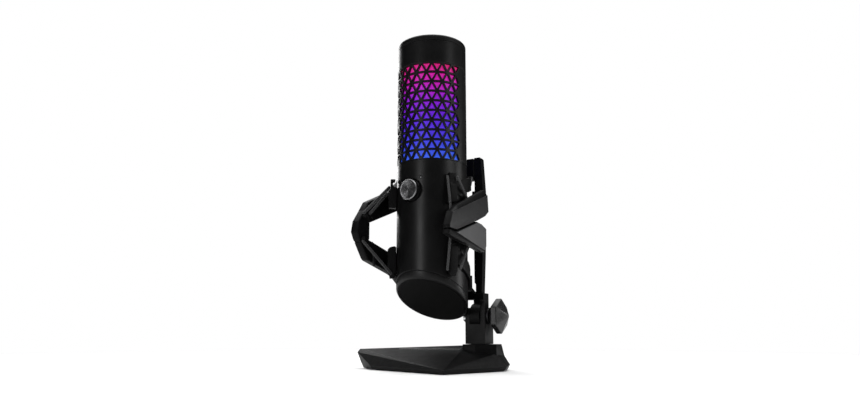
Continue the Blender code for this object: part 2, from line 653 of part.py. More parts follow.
def make_bottom():
    inner = TUBE_R - TUBE_WALL
    low, high = BOTTOM_AXIS_Z, BOTTOM_AXIS_Z + TRIM_HEIGHT - 0.2
    ring = turned_object("bottom_ring", [(TUBE_R, high), (TUBE_R, low + 1.0), (TUBE_R - 1.0, low),
                                         (inner, low), (inner, high)])
    apply_modifiers(ring)
    shear_rows(ring, BOTTOM_SLOPE)
    finish_object(ring, "suspension", "tube_black")
    cover_r = inner - GAP
    cover_low = low + 0.4
    cover_high = cover_low + BOTTOM_COVER_HEIGHT
    cover = turned_object("bottom_cover", [(0.0, cover_high), (cover_r, cover_high),
                                           (cover_r, cover_low), (0.0, cover_low)])
    apply_modifiers(cover)
    shear_rows(cover, BOTTOM_SLOPE)
    finish_object(cover, "suspension", "rubber")


def make_sleeve(name, outer, inner, top, bottom, finish, sides=TUBE_SIDES):
    """A plain tube or flat ring about the microphone's axis."""
    sleeve = turned_object(name, [(outer, top), (outer, bottom), (inner, bottom), (inner, top)], sides)
    return finish_object(apply_modifiers(sleeve), "suspension", finish)


def make_head():
    make_sleeve("grille_sleeve", TUBE_R, TUBE_R - GRILLE_WALL, GRILLE_TOP, GRILLE_BOTTOM, "tube_black")
    make_sleeve("upper_collar", TUBE_R, COLLAR_INNER_R, CAP_SEAM - 0.2, GRILLE_TOP + GAP, "tube_black")
    top = TOTAL_HEIGHT
    cap = turned_object("top_cap", [(0.0, top), (TUBE_R - 1.8, top), (TUBE_R - 0.7, top - 0.35),
                                    (TUBE_R - 0.15, top - 1.1), (TUBE_R, top - 2.2),
                                    (TUBE_R, CAP_SEAM + 0.2), (0.0, CAP_SEAM + 0.2)])
    finish_object(apply_modifiers(cap), "suspension", "tube_black")
    make_sleeve("light_diffuser", DIFFUSER_OUTER_R, DIFFUSER_INNER_R, GRILLE_TOP - 0.4, GRILLE_BOTTOM + 0.4,
                "diffuser")
    make_sleeve("foam_liner", DIFFUSER_INNER_R - 0.4, FOAM_INNER_R, GRILLE_TOP - 1.0, GRILLE_BOTTOM + 2.0,
                "foam", 32)


def make_inside():
    make_sleeve("led_ring_board", INSIDE_R, 16.0, RING_BOARD_TOP, RING_BOARD_TOP - BOARD_THICKNESS,
                "board_green", 32)
    make_sleeve("mic_chassis", INSIDE_R, 4.0, CHASSIS_TOP, CHASSIS_TOP - 3.4, "frame_black", 32)
    mount = object_from_bmesh("capsule_mount", box_shape((-7.0, 4.4, CHASSIS_TOP + 0.6),
                                                         (7.0, 8.0, CAPSULE_Z + 10.0)))
    bevel(mount, 1.0)
    finish_object(mount, "suspension", "frame_black")
    capsule = object_from_bmesh("condenser_capsule", rod_shape((0, -6.0, CAPSULE_Z), (0, 4.0, CAPSULE_Z),
                                                               CAPSULE_R, 28))
    bevel(capsule, 0.6)
    finish_object(capsule, "suspension", "brass")
    board = object_from_bmesh("main_board", box_shape((-22.0, 6.0, 92.0),
                                                      (22.0, 6.0 + BOARD_THICKNESS, CHASSIS_TOP - 4.0)))
    finish_object(board, "suspension", "board_green")
    across, up = USB_WIDTH / 2, USB_HEIGHT / 2
    port = object_from_bmesh("usb_port", box_shape((-across, PORT_FRONT_Y, USB_Z - up),
                                                   (across, PORT_BACK_Y, USB_Z + up)))
    bevel(port, 1.2, 3)
    apply_modifiers(port)
    across, up = across - USB_WALL, up - USB_WALL
    boolean(port, box_shape((-across, PORT_FRONT_Y + 2.0, USB_Z - up),
                            (across, PORT_BACK_Y + 2.0, USB_Z + up)))
    finish_object(port, "suspension", "steel")
    jack = object_from_bmesh("headphone_jack", rod_shape((0, JACK_FRONT_Y, JACK_Z), (0, PORT_BACK_Y, JACK_Z),
                                                         JACK_R, 32))
    boolean(jack, rod_shape((0, JACK_FRONT_Y + 2.0, JACK_Z), (0, PORT_BACK_Y + 2.0, JACK_Z), JACK_BORE_R, 24))
    finish_object(jack, "suspension", "rubber")
    lens = object_from_bmesh("status_lens", rod_shape(around(LED_ANGLE, TUBE_R - 3.0, LED_Z),
                                                      around(LED_ANGLE, TUBE_R + 0.1, LED_Z), LED_R, 20))
    finish_object(lens, "suspension", "clear_lens")


def make_dial():
    """The dial and its parts are turned about Z, then laid outwards at the dial's height and angle."""
    lift = Matrix.Translation(Vector((0, 0, DIAL_Z)) * MM)
    aim = Matrix.Rotation(math.radians(DIAL_ANGLE), 4, "Z")
    to_front = lift @ aim @ Matrix.Rotation(math.radians(90.0), 4, "X")
    bore = SHAFT_R + GAP
    floor_front = BEZEL_FLOOR + 2.0
    bezel = turned_object("dial_bezel", [(BEZEL_R, BEZEL_RIM), (BEZEL_R, BEZEL_FLOOR), (bore, BEZEL_FLOOR),
                                         (bore, floor_front), (BEZEL_R - 0.8, floor_front),
                                         (BEZEL_R - 0.8, BEZEL_RIM)], 36)
    apply_modifiers(bezel).data.transform(to_front)
    finish_object(bezel, "suspension", "frame_black")
    encoder = object_from_bmesh("dial_encoder", box_shape((-8.0, -21.0, DIAL_Z - 6.0),
                                                          (4.0, -13.0, DIAL_Z + 6.0)))
    bevel(encoder, 0.4)
    finish_object(encoder, "suspension", "steel")
    shaft = turned_object("dial_shaft", [(0.0, DIAL_BORE - GAP), (SHAFT_R, DIAL_BORE - GAP),
                                         (SHAFT_R, SHAFT_BACK), (0.0, SHAFT_BACK)], 20)
    apply_modifiers(shaft).data.transform(to_front)
    finish_object(shaft, "dial_press_axis", "steel")
    dial = turned_object("gain_dial", [(0.0, DIAL_FACE - 0.4), (DIAL_R - 1.5, DIAL_FACE - 0.4),
                                       (DIAL_R - 1.1, DIAL_FACE), (DIAL_R - 0.5, DIAL_FACE - 0.2),
                                       (DIAL_R, DIAL_FACE - 0.9), (DIAL_R, DIAL_BACK), (bore, DIAL_BACK),
                                       (bore, DIAL_BORE), (0.0, DIAL_BORE)], 40)
    apply_modifiers(dial).data.transform(to_front)
    finish_object(dial, "dial_axis", "spun_metal")


def main():
    add_empty("assembly", (0.0, 0.0, 0.0))
    EMPTIES["assembly"][0].location = (ASSEMBLY_SHIFT_X * MM, ASSEMBLY_SHIFT_Y * MM, 0.0)
    add_empty("stand", (0.0, 0.0, 0.0), "assembly")
    add_empty("knob_axis", (KNOB_START_X, PIVOT_Y, PIVOT_Z), "stand")
    add_empty("tilt_axis", (0.0, PIVOT_Y, PIVOT_Z), "stand")
    add_empty("suspension", (0.0, 0.0, DIAL_Z), "tilt_axis")
    add_empty("dial_press_axis", around(DIAL_ANGLE, DIAL_BACK, DIAL_Z), "suspension")
    add_empty("dial_axis", around(DIAL_ANGLE, DIAL_FACE, DIAL_Z), "dial_press_axis")
    make_base_cover()
    make_base_inside()
    make_post()
    make_pivot_hardware()
    make_clamp_knob()
    make_lower_rail()
    make_upper_plate()
    make_bridges()
    make_left_arms()
    make_right_arms()
    make_pegs()
    make_strands()
    make_band("upper_band", UPPER_BAND_Z, UPPER_BAND_SLOPE)
    make_band("lower_band", LOWER_BAND_Z, LOWER_BAND_SLOPE)
    make_blocks()
    make_tube()
    make_bottom()
    make_head()
    make_inside()
    make_dial()


main()
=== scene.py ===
"""Looks for the desktop microphone: fine surfaces, materials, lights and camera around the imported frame.

Places are given in millimetres from the microphone tube's axis at table height, X right, Y to the rear,
Z up, and at() turns them into metres in the frame. Angles around the tube are counted from its front.
"""
import json
import math

import bmesh
import bpy
from mathutils import Matrix, Vector


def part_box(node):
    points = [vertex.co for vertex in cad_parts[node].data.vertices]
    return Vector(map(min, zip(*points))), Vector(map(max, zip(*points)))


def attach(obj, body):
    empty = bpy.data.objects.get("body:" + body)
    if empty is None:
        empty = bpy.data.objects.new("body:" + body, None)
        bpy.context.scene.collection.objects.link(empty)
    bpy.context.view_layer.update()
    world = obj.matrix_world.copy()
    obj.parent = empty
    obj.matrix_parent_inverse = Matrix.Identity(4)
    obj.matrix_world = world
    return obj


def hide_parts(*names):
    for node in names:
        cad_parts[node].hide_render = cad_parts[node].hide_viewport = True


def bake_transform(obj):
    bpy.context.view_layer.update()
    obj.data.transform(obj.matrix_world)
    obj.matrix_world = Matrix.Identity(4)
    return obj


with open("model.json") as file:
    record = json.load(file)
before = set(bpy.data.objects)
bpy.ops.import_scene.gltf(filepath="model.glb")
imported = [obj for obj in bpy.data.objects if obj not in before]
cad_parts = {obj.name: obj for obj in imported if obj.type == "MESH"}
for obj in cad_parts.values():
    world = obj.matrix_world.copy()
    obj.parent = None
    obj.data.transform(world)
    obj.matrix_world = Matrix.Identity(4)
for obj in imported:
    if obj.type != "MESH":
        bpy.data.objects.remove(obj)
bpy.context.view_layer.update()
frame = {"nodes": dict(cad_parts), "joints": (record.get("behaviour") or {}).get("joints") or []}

MM = 0.001
NODES = frame["nodes"]
JOINTS = {joint["name"]: joint for joint in frame["joints"]}

TUBE_LOW, TUBE_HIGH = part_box("mic_tube")
AXIS_X = (TUBE_LOW.x + TUBE_HIGH.x) / 2
AXIS_Y = (TUBE_LOW.y + TUBE_HIGH.y) / 2
TUBE_R = (TUBE_HIGH.x - TUBE_LOW.x) / 2 / MM

SMOOTH_SIDES = 144


def at(x, y, z):
    """A point given in millimetres from the tube's axis, as a place in the frame."""
    return Vector((AXIS_X + x * MM, AXIS_Y + y * MM, z * MM))


def around(angle, radius, height):
    """A point at an angle from the tube's front, in degrees, positive towards the right."""
    turn = math.radians(angle)
    return at(radius * math.sin(turn), -radius * math.cos(turn), height)


# ---------------------------------------------------------------- materials
def fill_in(node, values):
    for name, value in values.items():
        node.inputs[name].default_value = value


class Finish:
    """Builds one procedural material: a Principled shader fed by noise in object space."""

    def __init__(self, name, colour, roughness, metallic=0.0, coat=0.0, specular=0.5):
        self.material = bpy.data.materials.new(name)
        self.material.use_nodes = True
        self.tree = self.material.node_tree
        self.shader = self.tree.nodes["Principled BSDF"]
        fill_in(self.shader, {"Metallic": metallic, "Roughness": roughness, "Coat Weight": coat,
                              "Specular IOR Level": specular})
        self.colour = colour
        self.roughness = roughness
        self.place = self.node("TexCoord").outputs["Object"]
        self.height = None
        self.tint = None

    def node(self, kind, values=None, **settings):
        made = self.tree.nodes.new("ShaderNode" + kind)
        for key, value in settings.items():
            setattr(made, key, value)
        fill_in(made, values or {})
        return made

    def link(self, source, target):
        self.tree.links.new(source, target)

    def noise(self, scale, detail=4.0, place=None):
        made = self.node("TexNoise", {"Scale": scale, "Detail": detail})
        self.link(place or self.place, made.inputs["Vector"])
        return made.outputs["Fac"]

    def stretched(self, x, y, z):
        """Object coordinates scaled apart, for marks that run one way."""
        made = self.node("VectorMath", operation="MULTIPLY")
        self.link(self.place, made.inputs[0])
        made.inputs[1].default_value = (x, y, z)
        return made.outputs["Vector"]

    def remap(self, value, low, high, from_low=0.3, from_high=0.7):
        made = self.node("MapRange", {"From Min": from_low, "From Max": from_high,
                                      "To Min": low, "To Max": high})
        self.link(value, made.inputs["Value"])
        return made.outputs["Result"]

    def mix(self, factor, first, second):
        made = self.node("Mix", data_type="RGBA")
        if isinstance(factor, float):
            made.inputs["Factor"].default_value = factor
        else:
            self.link(factor, made.inputs["Factor"])
        for socket, value in ((made.inputs[6], first), (made.inputs[7], second)):
            if isinstance(value, tuple):
                socket.default_value = (*value, 1.0)
            else:
                self.link(value, socket)
        return made.outputs[2]

    def vary_colour(self, scale, spread):
        """Lets the colour drift a little between darker and lighter."""
        darker = tuple(c * (1 - spread) for c in self.colour)
        lighter = tuple(c * (1 + spread) for c in self.colour)
        self.tint = self.mix(self.remap(self.noise(scale), 0.0, 1.0), darker, lighter)

    def speckle(self, scale, colour, amount):
        """Fine lighter flecks, as in moulded or powder-coated surfaces."""
        flecks = self.remap(self.noise(scale, 2.0), 0.0, amount, 0.55, 0.75)
        self.tint = self.mix(flecks, self.tint or self.colour, colour)

    def worn_edges(self, colour, amount):
        """Lightens the convex edges, where handling polishes the surface."""
        edge = self.node("NewGeometry").outputs["Pointiness"]
        worn = self.remap(edge, 0.0, amount, 0.52, 0.60)
        patchy = self.node("Math", operation="MULTIPLY")
        self.link(worn, patchy.inputs[0])
        self.link(self.remap(self.noise(240.0), 0.3, 1.0), patchy.inputs[1])
        self.tint = self.mix(patchy.outputs["Value"], self.tint or self.colour, colour)

    def vary_roughness(self, scale, spread, place=None):
        low, high = self.roughness - spread, self.roughness + spread
        spots = self.remap(self.noise(scale, 5.0, place), low, high)
        self.link(spots, self.shader.inputs["Roughness"])

    def bump(self, value, depth_mm, strength=1.0):
        made = self.node("Bump", {"Strength": strength, "Distance": depth_mm * MM})
        self.link(value, made.inputs["Height"])
        if self.height:
            self.link(self.height, made.inputs["Normal"])
        self.height = made.outputs["Normal"]

    def done(self):
        if self.tint:
            self.link(self.tint, self.shader.inputs["Base Color"])
        else:
            self.shader.inputs["Base Color"].default_value = (*self.colour, 1.0)
        if self.height:
            self.link(self.height, self.shader.inputs["Normal"])
        return self.material


def satin_coat(name, colour, roughness, metallic=0.0, specular=0.5, wear=0.25):
    """Sprayed satin coat: slight orange peel, fine grain and faint handling marks."""
    made = Finish(name, colour, roughness, metallic, specular=specular)
    made.vary_colour(35.0, 0.10)
    made.speckle(2600.0, tuple(c * 2.2 + 0.004 for c in colour), 0.10)
    made.worn_edges(tuple(c * 2.0 + 0.012 for c in colour), wear)
    made.vary_roughness(60.0, 0.035)
    made.bump(made.noise(900.0, 3.0), 0.02, 0.35)
    made.bump(made.noise(3200.0, 2.0), 0.012, 0.5)
    return made.done()


def moulded_plastic(name, colour, roughness, grain=1500.0, specular=0.45, wear=0.35):
    """Moulded plastic with a fine spark-eroded grain."""
    made = Finish(name, colour, roughness, specular=specular)
    made.vary_colour(50.0, 0.12)
    made.speckle(grain * 1.3, tuple(c * 2.0 + 0.003 for c in colour), 0.18)
    made.worn_edges(tuple(c * 2.0 + 0.015 for c in colour), wear)
    made.vary_roughness(90.0, 0.05)
    made.bump(made.noise(grain, 3.0), 0.05, 0.6)
    return made.done()


def turned_metal(name, colour, roughness):
    """Metal turned or drawn, with fine marks along one way."""
    made = Finish(name, colour, roughness, 1.0)
    made.vary_colour(120.0, 0.08)
    made.vary_roughness(400.0, 0.06, made.stretched(1.0, 1.0, 12.0))
    made.bump(made.noise(1800.0, 2.0, made.stretched(0.2, 0.2, 4.0)), 0.01, 0.4)
    fill_in(made.shader, {"Anisotropic": 0.4})
    return made.done()


def spun_face():
    """The dial's face: fine rings about its axis, which is the piece's own Z."""
    made = Finish("spun_aluminium", (0.22, 0.22, 0.225), 0.30, 1.0)
    split = made.node("SeparateXYZ")
    made.link(made.place, split.inputs["Vector"])
    flat = made.node("CombineXYZ")
    made.link(split.outputs["X"], flat.inputs["X"])
    made.link(split.outputs["Y"], flat.inputs["Y"])
    distance = made.node("VectorMath", operation="LENGTH")
    made.link(flat.outputs["Vector"], distance.inputs[0])
    rings = made.node("TexNoise", {"Scale": 5200.0, "Detail": 3.0}, noise_dimensions="1D")
    made.link(distance.outputs["Value"], rings.inputs["W"])
    made.tint = made.mix(made.remap(rings.outputs["Fac"], 0.0, 1.0), (0.15, 0.15, 0.155), (0.28, 0.28, 0.285))
    made.bump(rings.outputs["Fac"], 0.012, 0.35)
    made.link(made.remap(rings.outputs["Fac"], 0.22, 0.34), made.shader.inputs["Roughness"])
    fill_in(made.shader, {"Anisotropic": 0.85})
    tangent = made.node("Tangent", direction_type="RADIAL", axis="Z")
    made.link(tangent.outputs["Tangent"], made.shader.inputs["Tangent"])
    return made.done()


def woven_elastic():
    """Elastic cord in a fine woven sleeve: small crossing threads and a soft sheen."""
    made = Finish("woven_elastic", (0.04, 0.04, 0.042), 0.78, specular=0.25)
    fill_in(made.shader, {"Sheen Weight": 0.12, "Sheen Roughness": 0.5})
    heights = []
    for turn in (35.0, -35.0):
        mapping = made.node("Mapping", {"Rotation": (0.0, math.radians(turn), math.radians(turn))})
        made.link(made.place, mapping.inputs["Vector"])
        wave = made.node("TexWave", {"Scale": 330.0, "Distortion": 0.6},
                         wave_type="BANDS", bands_direction="DIAGONAL")
        made.link(mapping.outputs["Vector"], wave.inputs["Vector"])
        heights.append(wave.outputs["Fac"])
    crossing = made.node("Math", operation="MAXIMUM")
    made.link(heights[0], crossing.inputs[0])
    made.link(heights[1], crossing.inputs[1])
    made.tint = made.mix(crossing.outputs["Value"], (0.010, 0.010, 0.0105), (0.038, 0.038, 0.039))
    made.bump(crossing.outputs["Value"], 0.12, 0.8)
    made.vary_roughness(700.0, 0.06)
    return made.done()


def glowing_diffuser():
    """Milky diffuser lit from behind, pink at the top to blue at the bottom, brightest behind each hole."""
    made = Finish("glowing_diffuser", (0.02, 0.02, 0.02), 0.6)
    low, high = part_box("light_diffuser")
    split = made.node("SeparateXYZ")
    made.link(made.place, split.inputs["Vector"])
    level = made.node("MapRange", {"From Min": low.z, "From Max": high.z})
    made.link(split.outputs["Z"], level.inputs["Value"])
    uneven = made.node("Math", operation="ADD")
    made.link(level.outputs["Result"], uneven.inputs[0])
    made.link(made.remap(made.noise(38.0), -0.03, 0.03), uneven.inputs[1])
    ramp = made.node("ValToRGB")
    stops = ((0.0, (0.028, 0.110, 0.80)), (0.22, (0.050, 0.035, 0.72)), (0.45, (0.115, 0.008, 0.66)),
             (0.66, (0.30, 0.006, 0.62)), (0.84, (0.60, 0.006, 0.42)), (1.0, (0.66, 0.008, 0.16)))
    while len(ramp.color_ramp.elements) < len(stops):
        ramp.color_ramp.elements.new(0.5)
    for element, (position, colour) in zip(ramp.color_ramp.elements, stops):
        element.position = position
        element.color = (*colour, 1.0)
    made.link(uneven.outputs["Value"], ramp.inputs["Fac"])
    glow = made.node("Attribute", attribute_name="glow")
    made.link(ramp.outputs["Color"], made.shader.inputs["Emission Color"])
    made.link(made.remap(glow.outputs["Fac"], 0.05, 1.15, 0.0, 1.0), made.shader.inputs["Emission Strength"])
    made.tint = made.mix(0.3, ramp.outputs["Color"], (0.02, 0.02, 0.02))
    return made.done()


def soft_foam():
    made = Finish("acoustic_foam", (0.02, 0.02, 0.021), 0.95)
    cells = made.node("TexVoronoi", {"Scale": 900.0})
    made.link(made.place, cells.inputs["Vector"])
    depth = made.remap(cells.outputs["Distance"], 0.0, 1.0, 0.0, 0.6)
    made.tint = made.mix(depth, (0.008, 0.008, 0.008), (0.05, 0.05, 0.052))
    made.bump(cells.outputs["Distance"], 0.3, 0.8)
    return made.done()


def circuit_board():
    made = Finish("circuit_board", (0.012, 0.07, 0.035), 0.4, coat=0.3)
    made.vary_colour(400.0, 0.25)
    tracks = made.node("TexBrick", {"Scale": 180.0, "Color1": (0.012, 0.07, 0.035, 1.0),
                                    "Color2": (0.02, 0.10, 0.05, 1.0), "Mortar": (0.03, 0.16, 0.08, 1.0)})
    made.link(made.place, tracks.inputs["Vector"])
    made.tint = made.mix(0.6, made.tint, tracks.outputs["Color"])
    made.bump(tracks.outputs["Fac"], 0.03, 0.4)
    return made.done()


def clear_lens():
    made = Finish("clear_lens", (0.016, 0.016, 0.018), 0.22, specular=0.4)
    made.vary_colour(900.0, 0.1)
    made.vary_roughness(500.0, 0.05)
    return made.done()


def ribbed_rubber(name, colour):
    made = Finish(name, colour, 0.82, specular=0.3)
    made.vary_colour(80.0, 0.15)
    made.speckle(2000.0, tuple(c * 3 + 0.01 for c in colour), 0.3)
    made.bump(made.noise(1200.0, 4.0), 0.08, 0.7)
    made.vary_roughness(140.0, 0.08)
    return made.done()


FINISHES = {
    "tube": satin_coat("satin_black", (0.0022, 0.0022, 0.0023), 0.36, 0.0, 0.17, 0.12),
    "grille": satin_coat("grille_coat", (0.0022, 0.0022, 0.0023), 0.40, 0.0, 0.20, 0.15),
    "bottom": satin_coat("soft_touch_black", (0.0020, 0.0020, 0.0020), 0.62, 0.0, 0.06, 0.1),
    "frame": moulded_plastic("frame_black", (0.0016, 0.0016, 0.0017), 0.46, specular=0.065),
    "cradle": moulded_plastic("cradle_black", (0.0016, 0.0016, 0.0017), 0.55, 1900.0, 0.09),
    # The upper panel's charcoal and the lower panel's lighter grey are one panel finish, with painted shade
    # above and painted light below.
    "upper_panel": moulded_plastic("panel_painted_shade", (0.011, 0.011, 0.0113), 0.46, 2100.0, 0.25),
    "lower_panel": moulded_plastic("panel_painted_light", (0.058, 0.058, 0.059), 0.44, 2100.0, 0.30),
    "knob": moulded_plastic("knob_grey", (0.007, 0.007, 0.0073), 0.30, 1700.0, 0.34),
    "base": moulded_plastic("base_texture", (0.0022, 0.0022, 0.0023), 0.50, 1300.0, 0.065),
    # The ribs' light grey is a painted highlight: the ribs are moulded in the base's black plastic.
    "rib": moulded_plastic("rib_painted_highlight", (0.110, 0.110, 0.112), 0.44, 1700.0, 0.40),
    "post": moulded_plastic("post_texture", (0.0035, 0.0035, 0.0036), 0.50, 1500.0, 0.14),
    "steel": turned_metal("bright_steel", (0.42, 0.42, 0.43), 0.30),
    "dark_steel": turned_metal("dark_steel", (0.030, 0.030, 0.031), 0.42),
    "brass": turned_metal("capsule_brass", (0.60, 0.44, 0.17), 0.28),
    "dial_side": satin_coat("dial_side", (0.012, 0.012, 0.0125), 0.34, 0.8, 0.3, 0.3),
    "dial_face": spun_face(),
    "elastic": woven_elastic(),
    "diffuser": glowing_diffuser(),
    "foam": soft_foam(),
    "board": circuit_board(),
    "lens": clear_lens(),
    "sole": ribbed_rubber("sole_rubber", (0.010, 0.010, 0.010)),
}


def dress(obj, finish):
    obj.data.materials.clear()
    obj.data.materials.append(FINISHES[finish])


# ---------------------------------------------------------------- mesh helpers
def mesh_object(name, shape, finish, smooth=30.0):
    """Turns a bmesh in metres into an object with one finish."""
    mesh = bpy.data.meshes.new(name)
    shape.to_mesh(mesh)
    shape.free()
    obj = bpy.data.objects.new(name, mesh)
    bpy.context.scene.collection.objects.link(obj)
    dress(obj, finish)
    shade(obj, smooth)
    return obj


def shade(obj, smooth=30.0):
    for polygon in obj.data.polygons:
        polygon.use_smooth = True
    obj.data.set_sharp_from_angle(angle=math.radians(smooth))


def apply_modifiers(obj):
    bpy.context.view_layer.update()
    ready = obj.evaluated_get(bpy.context.evaluated_depsgraph_get())
    mesh = bpy.data.meshes.new_from_object(ready)
    obj.modifiers.clear()
    obj.data = mesh
    return obj


def soften(obj, width_mm, segments=2, angle=20.0, smooth=35.0):
    """Rounds the edges with a Bevel modifier and applies it."""
    step = obj.modifiers.new("soften", "BEVEL")
    step.width = width_mm * MM
    step.segments = segments
    step.limit_method = "ANGLE"
    step.angle_limit = math.radians(angle)
    step.harden_normals = False
    apply_modifiers(obj)
    shade(obj, smooth)
    return obj


def cut(obj, cutter):
    """Cuts an object with another, which is then removed."""
    step = obj.modifiers.new("cut", "BOOLEAN")
    step.operation = "DIFFERENCE"
    step.solver = "EXACT"
    step.object = cutter
    apply_modifiers(obj)
    bpy.data.objects.remove(cutter, do_unlink=True)
    return obj


def revolved(profile, sides, point_on):
    """A closed (radius, height) profile turned about an axis. Points on the axis become one.

    point_on(angle in degrees, radius, height) places each point.
    """
    shape = bmesh.new()
    rings = []
    for radius, height in profile:
        count = sides if radius else 1
        rings.append([shape.verts.new(point_on(360.0 * k / sides, radius, height)) for k in range(count)])
    for index, ring in enumerate(rings):
        following = rings[(index + 1) % len(rings)]
        for k in range(sides):
            corners = [ring[k % len(ring)], ring[(k + 1) % len(ring)],
                       following[(k + 1) % len(following)], following[k % len(following)]]
            unique = list(dict.fromkeys(corners))
            if len(unique) >= 3:
                shape.faces.new(unique)
    bmesh.ops.recalc_face_normals(shape, faces=shape.faces)
    return shape


def turned(name, profile, finish, smooth=30.0):
    """A closed (radius, height) profile turned about Z at the tube's axis."""
    return mesh_object(name, revolved(profile, SMOOTH_SIDES, around), finish, smooth)


def join(shape, rows):
    """Faces between closed rows of vertices that have the same number each."""
    for first, second in zip(rows, rows[1:]):
        for k in range(len(first)):
            after = (k + 1) % len(first)
            shape.faces.new((first[k], first[after], second[after], second[k]))


def bridge(shape, rows):
    """The same, closed at both ends."""
    join(shape, rows)
    shape.faces.new(rows[0][::-1])
    shape.faces.new(rows[-1])


def loft(name, rings, finish, smooth=30.0):
    """A solid through rings with the same number of points, closed at both ends."""
    shape = bmesh.new()
    bridge(shape, [[shape.verts.new(at(*point)) for point in ring] for ring in rings])
    bmesh.ops.recalc_face_normals(shape, faces=shape.faces)
    return mesh_object(name, shape, finish, smooth)


def rod(name, start, end, radius, finish, sides=32):
    """A cylinder between two points, in millimetres from the tube's axis."""
    first, last = at(*start), at(*end)
    along = last - first
    shape = bmesh.new()
    turn = along.to_track_quat("Z", "Y").to_matrix().to_4x4()
    bmesh.ops.create_cone(shape, cap_ends=True, segments=sides, radius1=radius * MM,
                          radius2=radius * MM, depth=along.length,
                          matrix=Matrix.Translation((first + last) / 2) @ turn)
    return mesh_object(name, shape, finish)


def block(name, low, high, finish):
    shape = bmesh.new()
    bmesh.ops.create_cube(shape, size=1.0)
    first, last = at(*low), at(*high)
    bmesh.ops.scale(shape, vec=last - first, verts=shape.verts)
    bmesh.ops.translate(shape, vec=(first + last) / 2, verts=shape.verts)
    return mesh_object(name, shape, finish)


def refined(node, finish, width_mm=0.25, segments=2, angle=20.0):
    """A copy of a CAD node's shape with clean flat faces and its edges rounded off.

    Edges that turn by more than the angle are bevelled and kept crisp.
    """
    shape = bmesh.new()
    shape.from_mesh(NODES[node].data)
    bmesh.ops.remove_doubles(shape, verts=shape.verts, dist=2e-6)
    bmesh.ops.dissolve_limit(shape, angle_limit=math.radians(0.6), verts=shape.verts, edges=shape.edges)
    obj = mesh_object(node + "_surface", shape, finish)
    soften(obj, width_mm, segments, angle, min(angle, 35.0))
    return obj


def place(obj, body, slot, *replaced):
    """Puts a finished piece on its body and hides the CAD nodes it stands for. The slot is not used."""
    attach(obj, body)
    if replaced:
        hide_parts(*replaced)
    return obj


def round_normals(obj, radius_mm, tolerance_mm=0.02):
    """Gives faces on a cylinder about the tube's axis exact round shading."""
    mesh = obj.data
    normals = []
    for polygon in mesh.polygons:
        offsets = [mesh.vertices[v].co - at(0, 0, 0) for v in polygon.vertices]
        on_surface = all(abs(math.hypot(p.x, p.y) / MM - radius_mm) < tolerance_mm for p in offsets)
        level = max(p.z for p in offsets) - min(p.z for p in offsets) < 1e-6
        for offset in offsets:
            outward = Vector((offset.x, offset.y, 0.0)).normalized()
            normals.append(outward if on_surface and not level else Vector((0.0, 0.0, 0.0)))
    mesh.normals_split_custom_set(normals)


def shear_with_y(obj, slope, below_mm=None):
    """Slides points up or down in step with their distance behind the axis."""
    for vertex in obj.data.vertices:
        if below_mm is None or vertex.co.z < below_mm * MM:
            vertex.co.z += slope * (vertex.co.y - AXIS_Y)


# ---------------------------------------------------------------- camera, lights and floor
CAMERA_AZIMUTH = math.radians(27.5)
CAMERA_PITCH = math.radians(10.75)
CAMERA_DISTANCE = 624.0
CAMERA_HEIGHT = 34.65
CAMERA_SIDE = -1.9
LENS = 28.264
SENSOR_WIDTH = 36.0
FLOOR_R = 0.8


def towards(degrees_right, distance, height):
    """A point seen from the tube at an angle to the right of the camera's own direction."""
    turn = CAMERA_AZIMUTH + math.radians(degrees_right)
    return at(distance * math.sin(turn), -distance * math.cos(turn), height)


def make_camera():
    camera = bpy.data.cameras.new("camera")
    camera.sensor_width = SENSOR_WIDTH
    camera.lens = LENS
    camera.clip_start = 0.02
    obj = bpy.data.objects.new("camera", camera)
    bpy.context.scene.collection.objects.link(obj)
    side = Vector((math.cos(CAMERA_AZIMUTH), math.sin(CAMERA_AZIMUTH), 0.0)) * CAMERA_SIDE * MM
    obj.location = towards(0.0, CAMERA_DISTANCE, CAMERA_HEIGHT) + side
    obj.rotation_euler = (math.radians(90.0) + CAMERA_PITCH, 0.0, CAMERA_AZIMUTH)
    bpy.context.scene.camera = obj


def area_light(name, place_at, aim_at, size, power):
    light = bpy.data.lights.new(name, "AREA")
    light.shape = "RECTANGLE"
    light.size, light.size_y = size[0] * MM, size[1] * MM
    light.energy = power
    obj = bpy.data.objects.new(name, light)
    bpy.context.scene.collection.objects.link(obj)
    obj.location = place_at
    obj.rotation_euler = (aim_at - place_at).to_track_quat("-Z", "Y").to_euler()


def make_lights():
    middle = at(0.0, 0.0, 150.0)
    area_light("left_strip", towards(-38.0, 900.0, 130.0), middle, (140.0, 700.0), 3.4)
    area_light("left_rim", towards(-152.0, 800.0, 520.0), middle, (260.0, 500.0), 3.0)
    area_light("right_strip", towards(96.0, 900.0, 110.0), middle, (260.0, 600.0), 3.2)
    area_light("right_front", towards(60.0, 1300.0, 500.0), middle, (500.0, 500.0), 4.0)
    area_light("top_soft", at(0.0, 0.0, 2200.0), middle, (3600.0, 3600.0), 105.0)
    world = bpy.data.worlds.new("studio")
    world.use_nodes = True
    tree = world.node_tree
    backdrop = tree.nodes["Background"]
    fill_in(backdrop, {"Color": (1.0, 1.0, 1.0, 1.0), "Strength": 1.0})
    fill = tree.nodes.new("ShaderNodeBackground")
    fill_in(fill, {"Color": (0.95, 0.97, 1.0, 1.0), "Strength": 0.03})
    seen = tree.nodes.new("ShaderNodeLightPath")
    pick = tree.nodes.new("ShaderNodeMixShader")
    tree.links.new(seen.outputs["Is Camera Ray"], pick.inputs["Fac"])
    tree.links.new(fill.outputs["Background"], pick.inputs[1])
    tree.links.new(backdrop.outputs["Background"], pick.inputs[2])
    tree.links.new(pick.outputs["Shader"], tree.nodes["World Output"].inputs["Surface"])
    bpy.context.scene.world = world
    bpy.context.scene.view_settings.view_transform = "Standard"


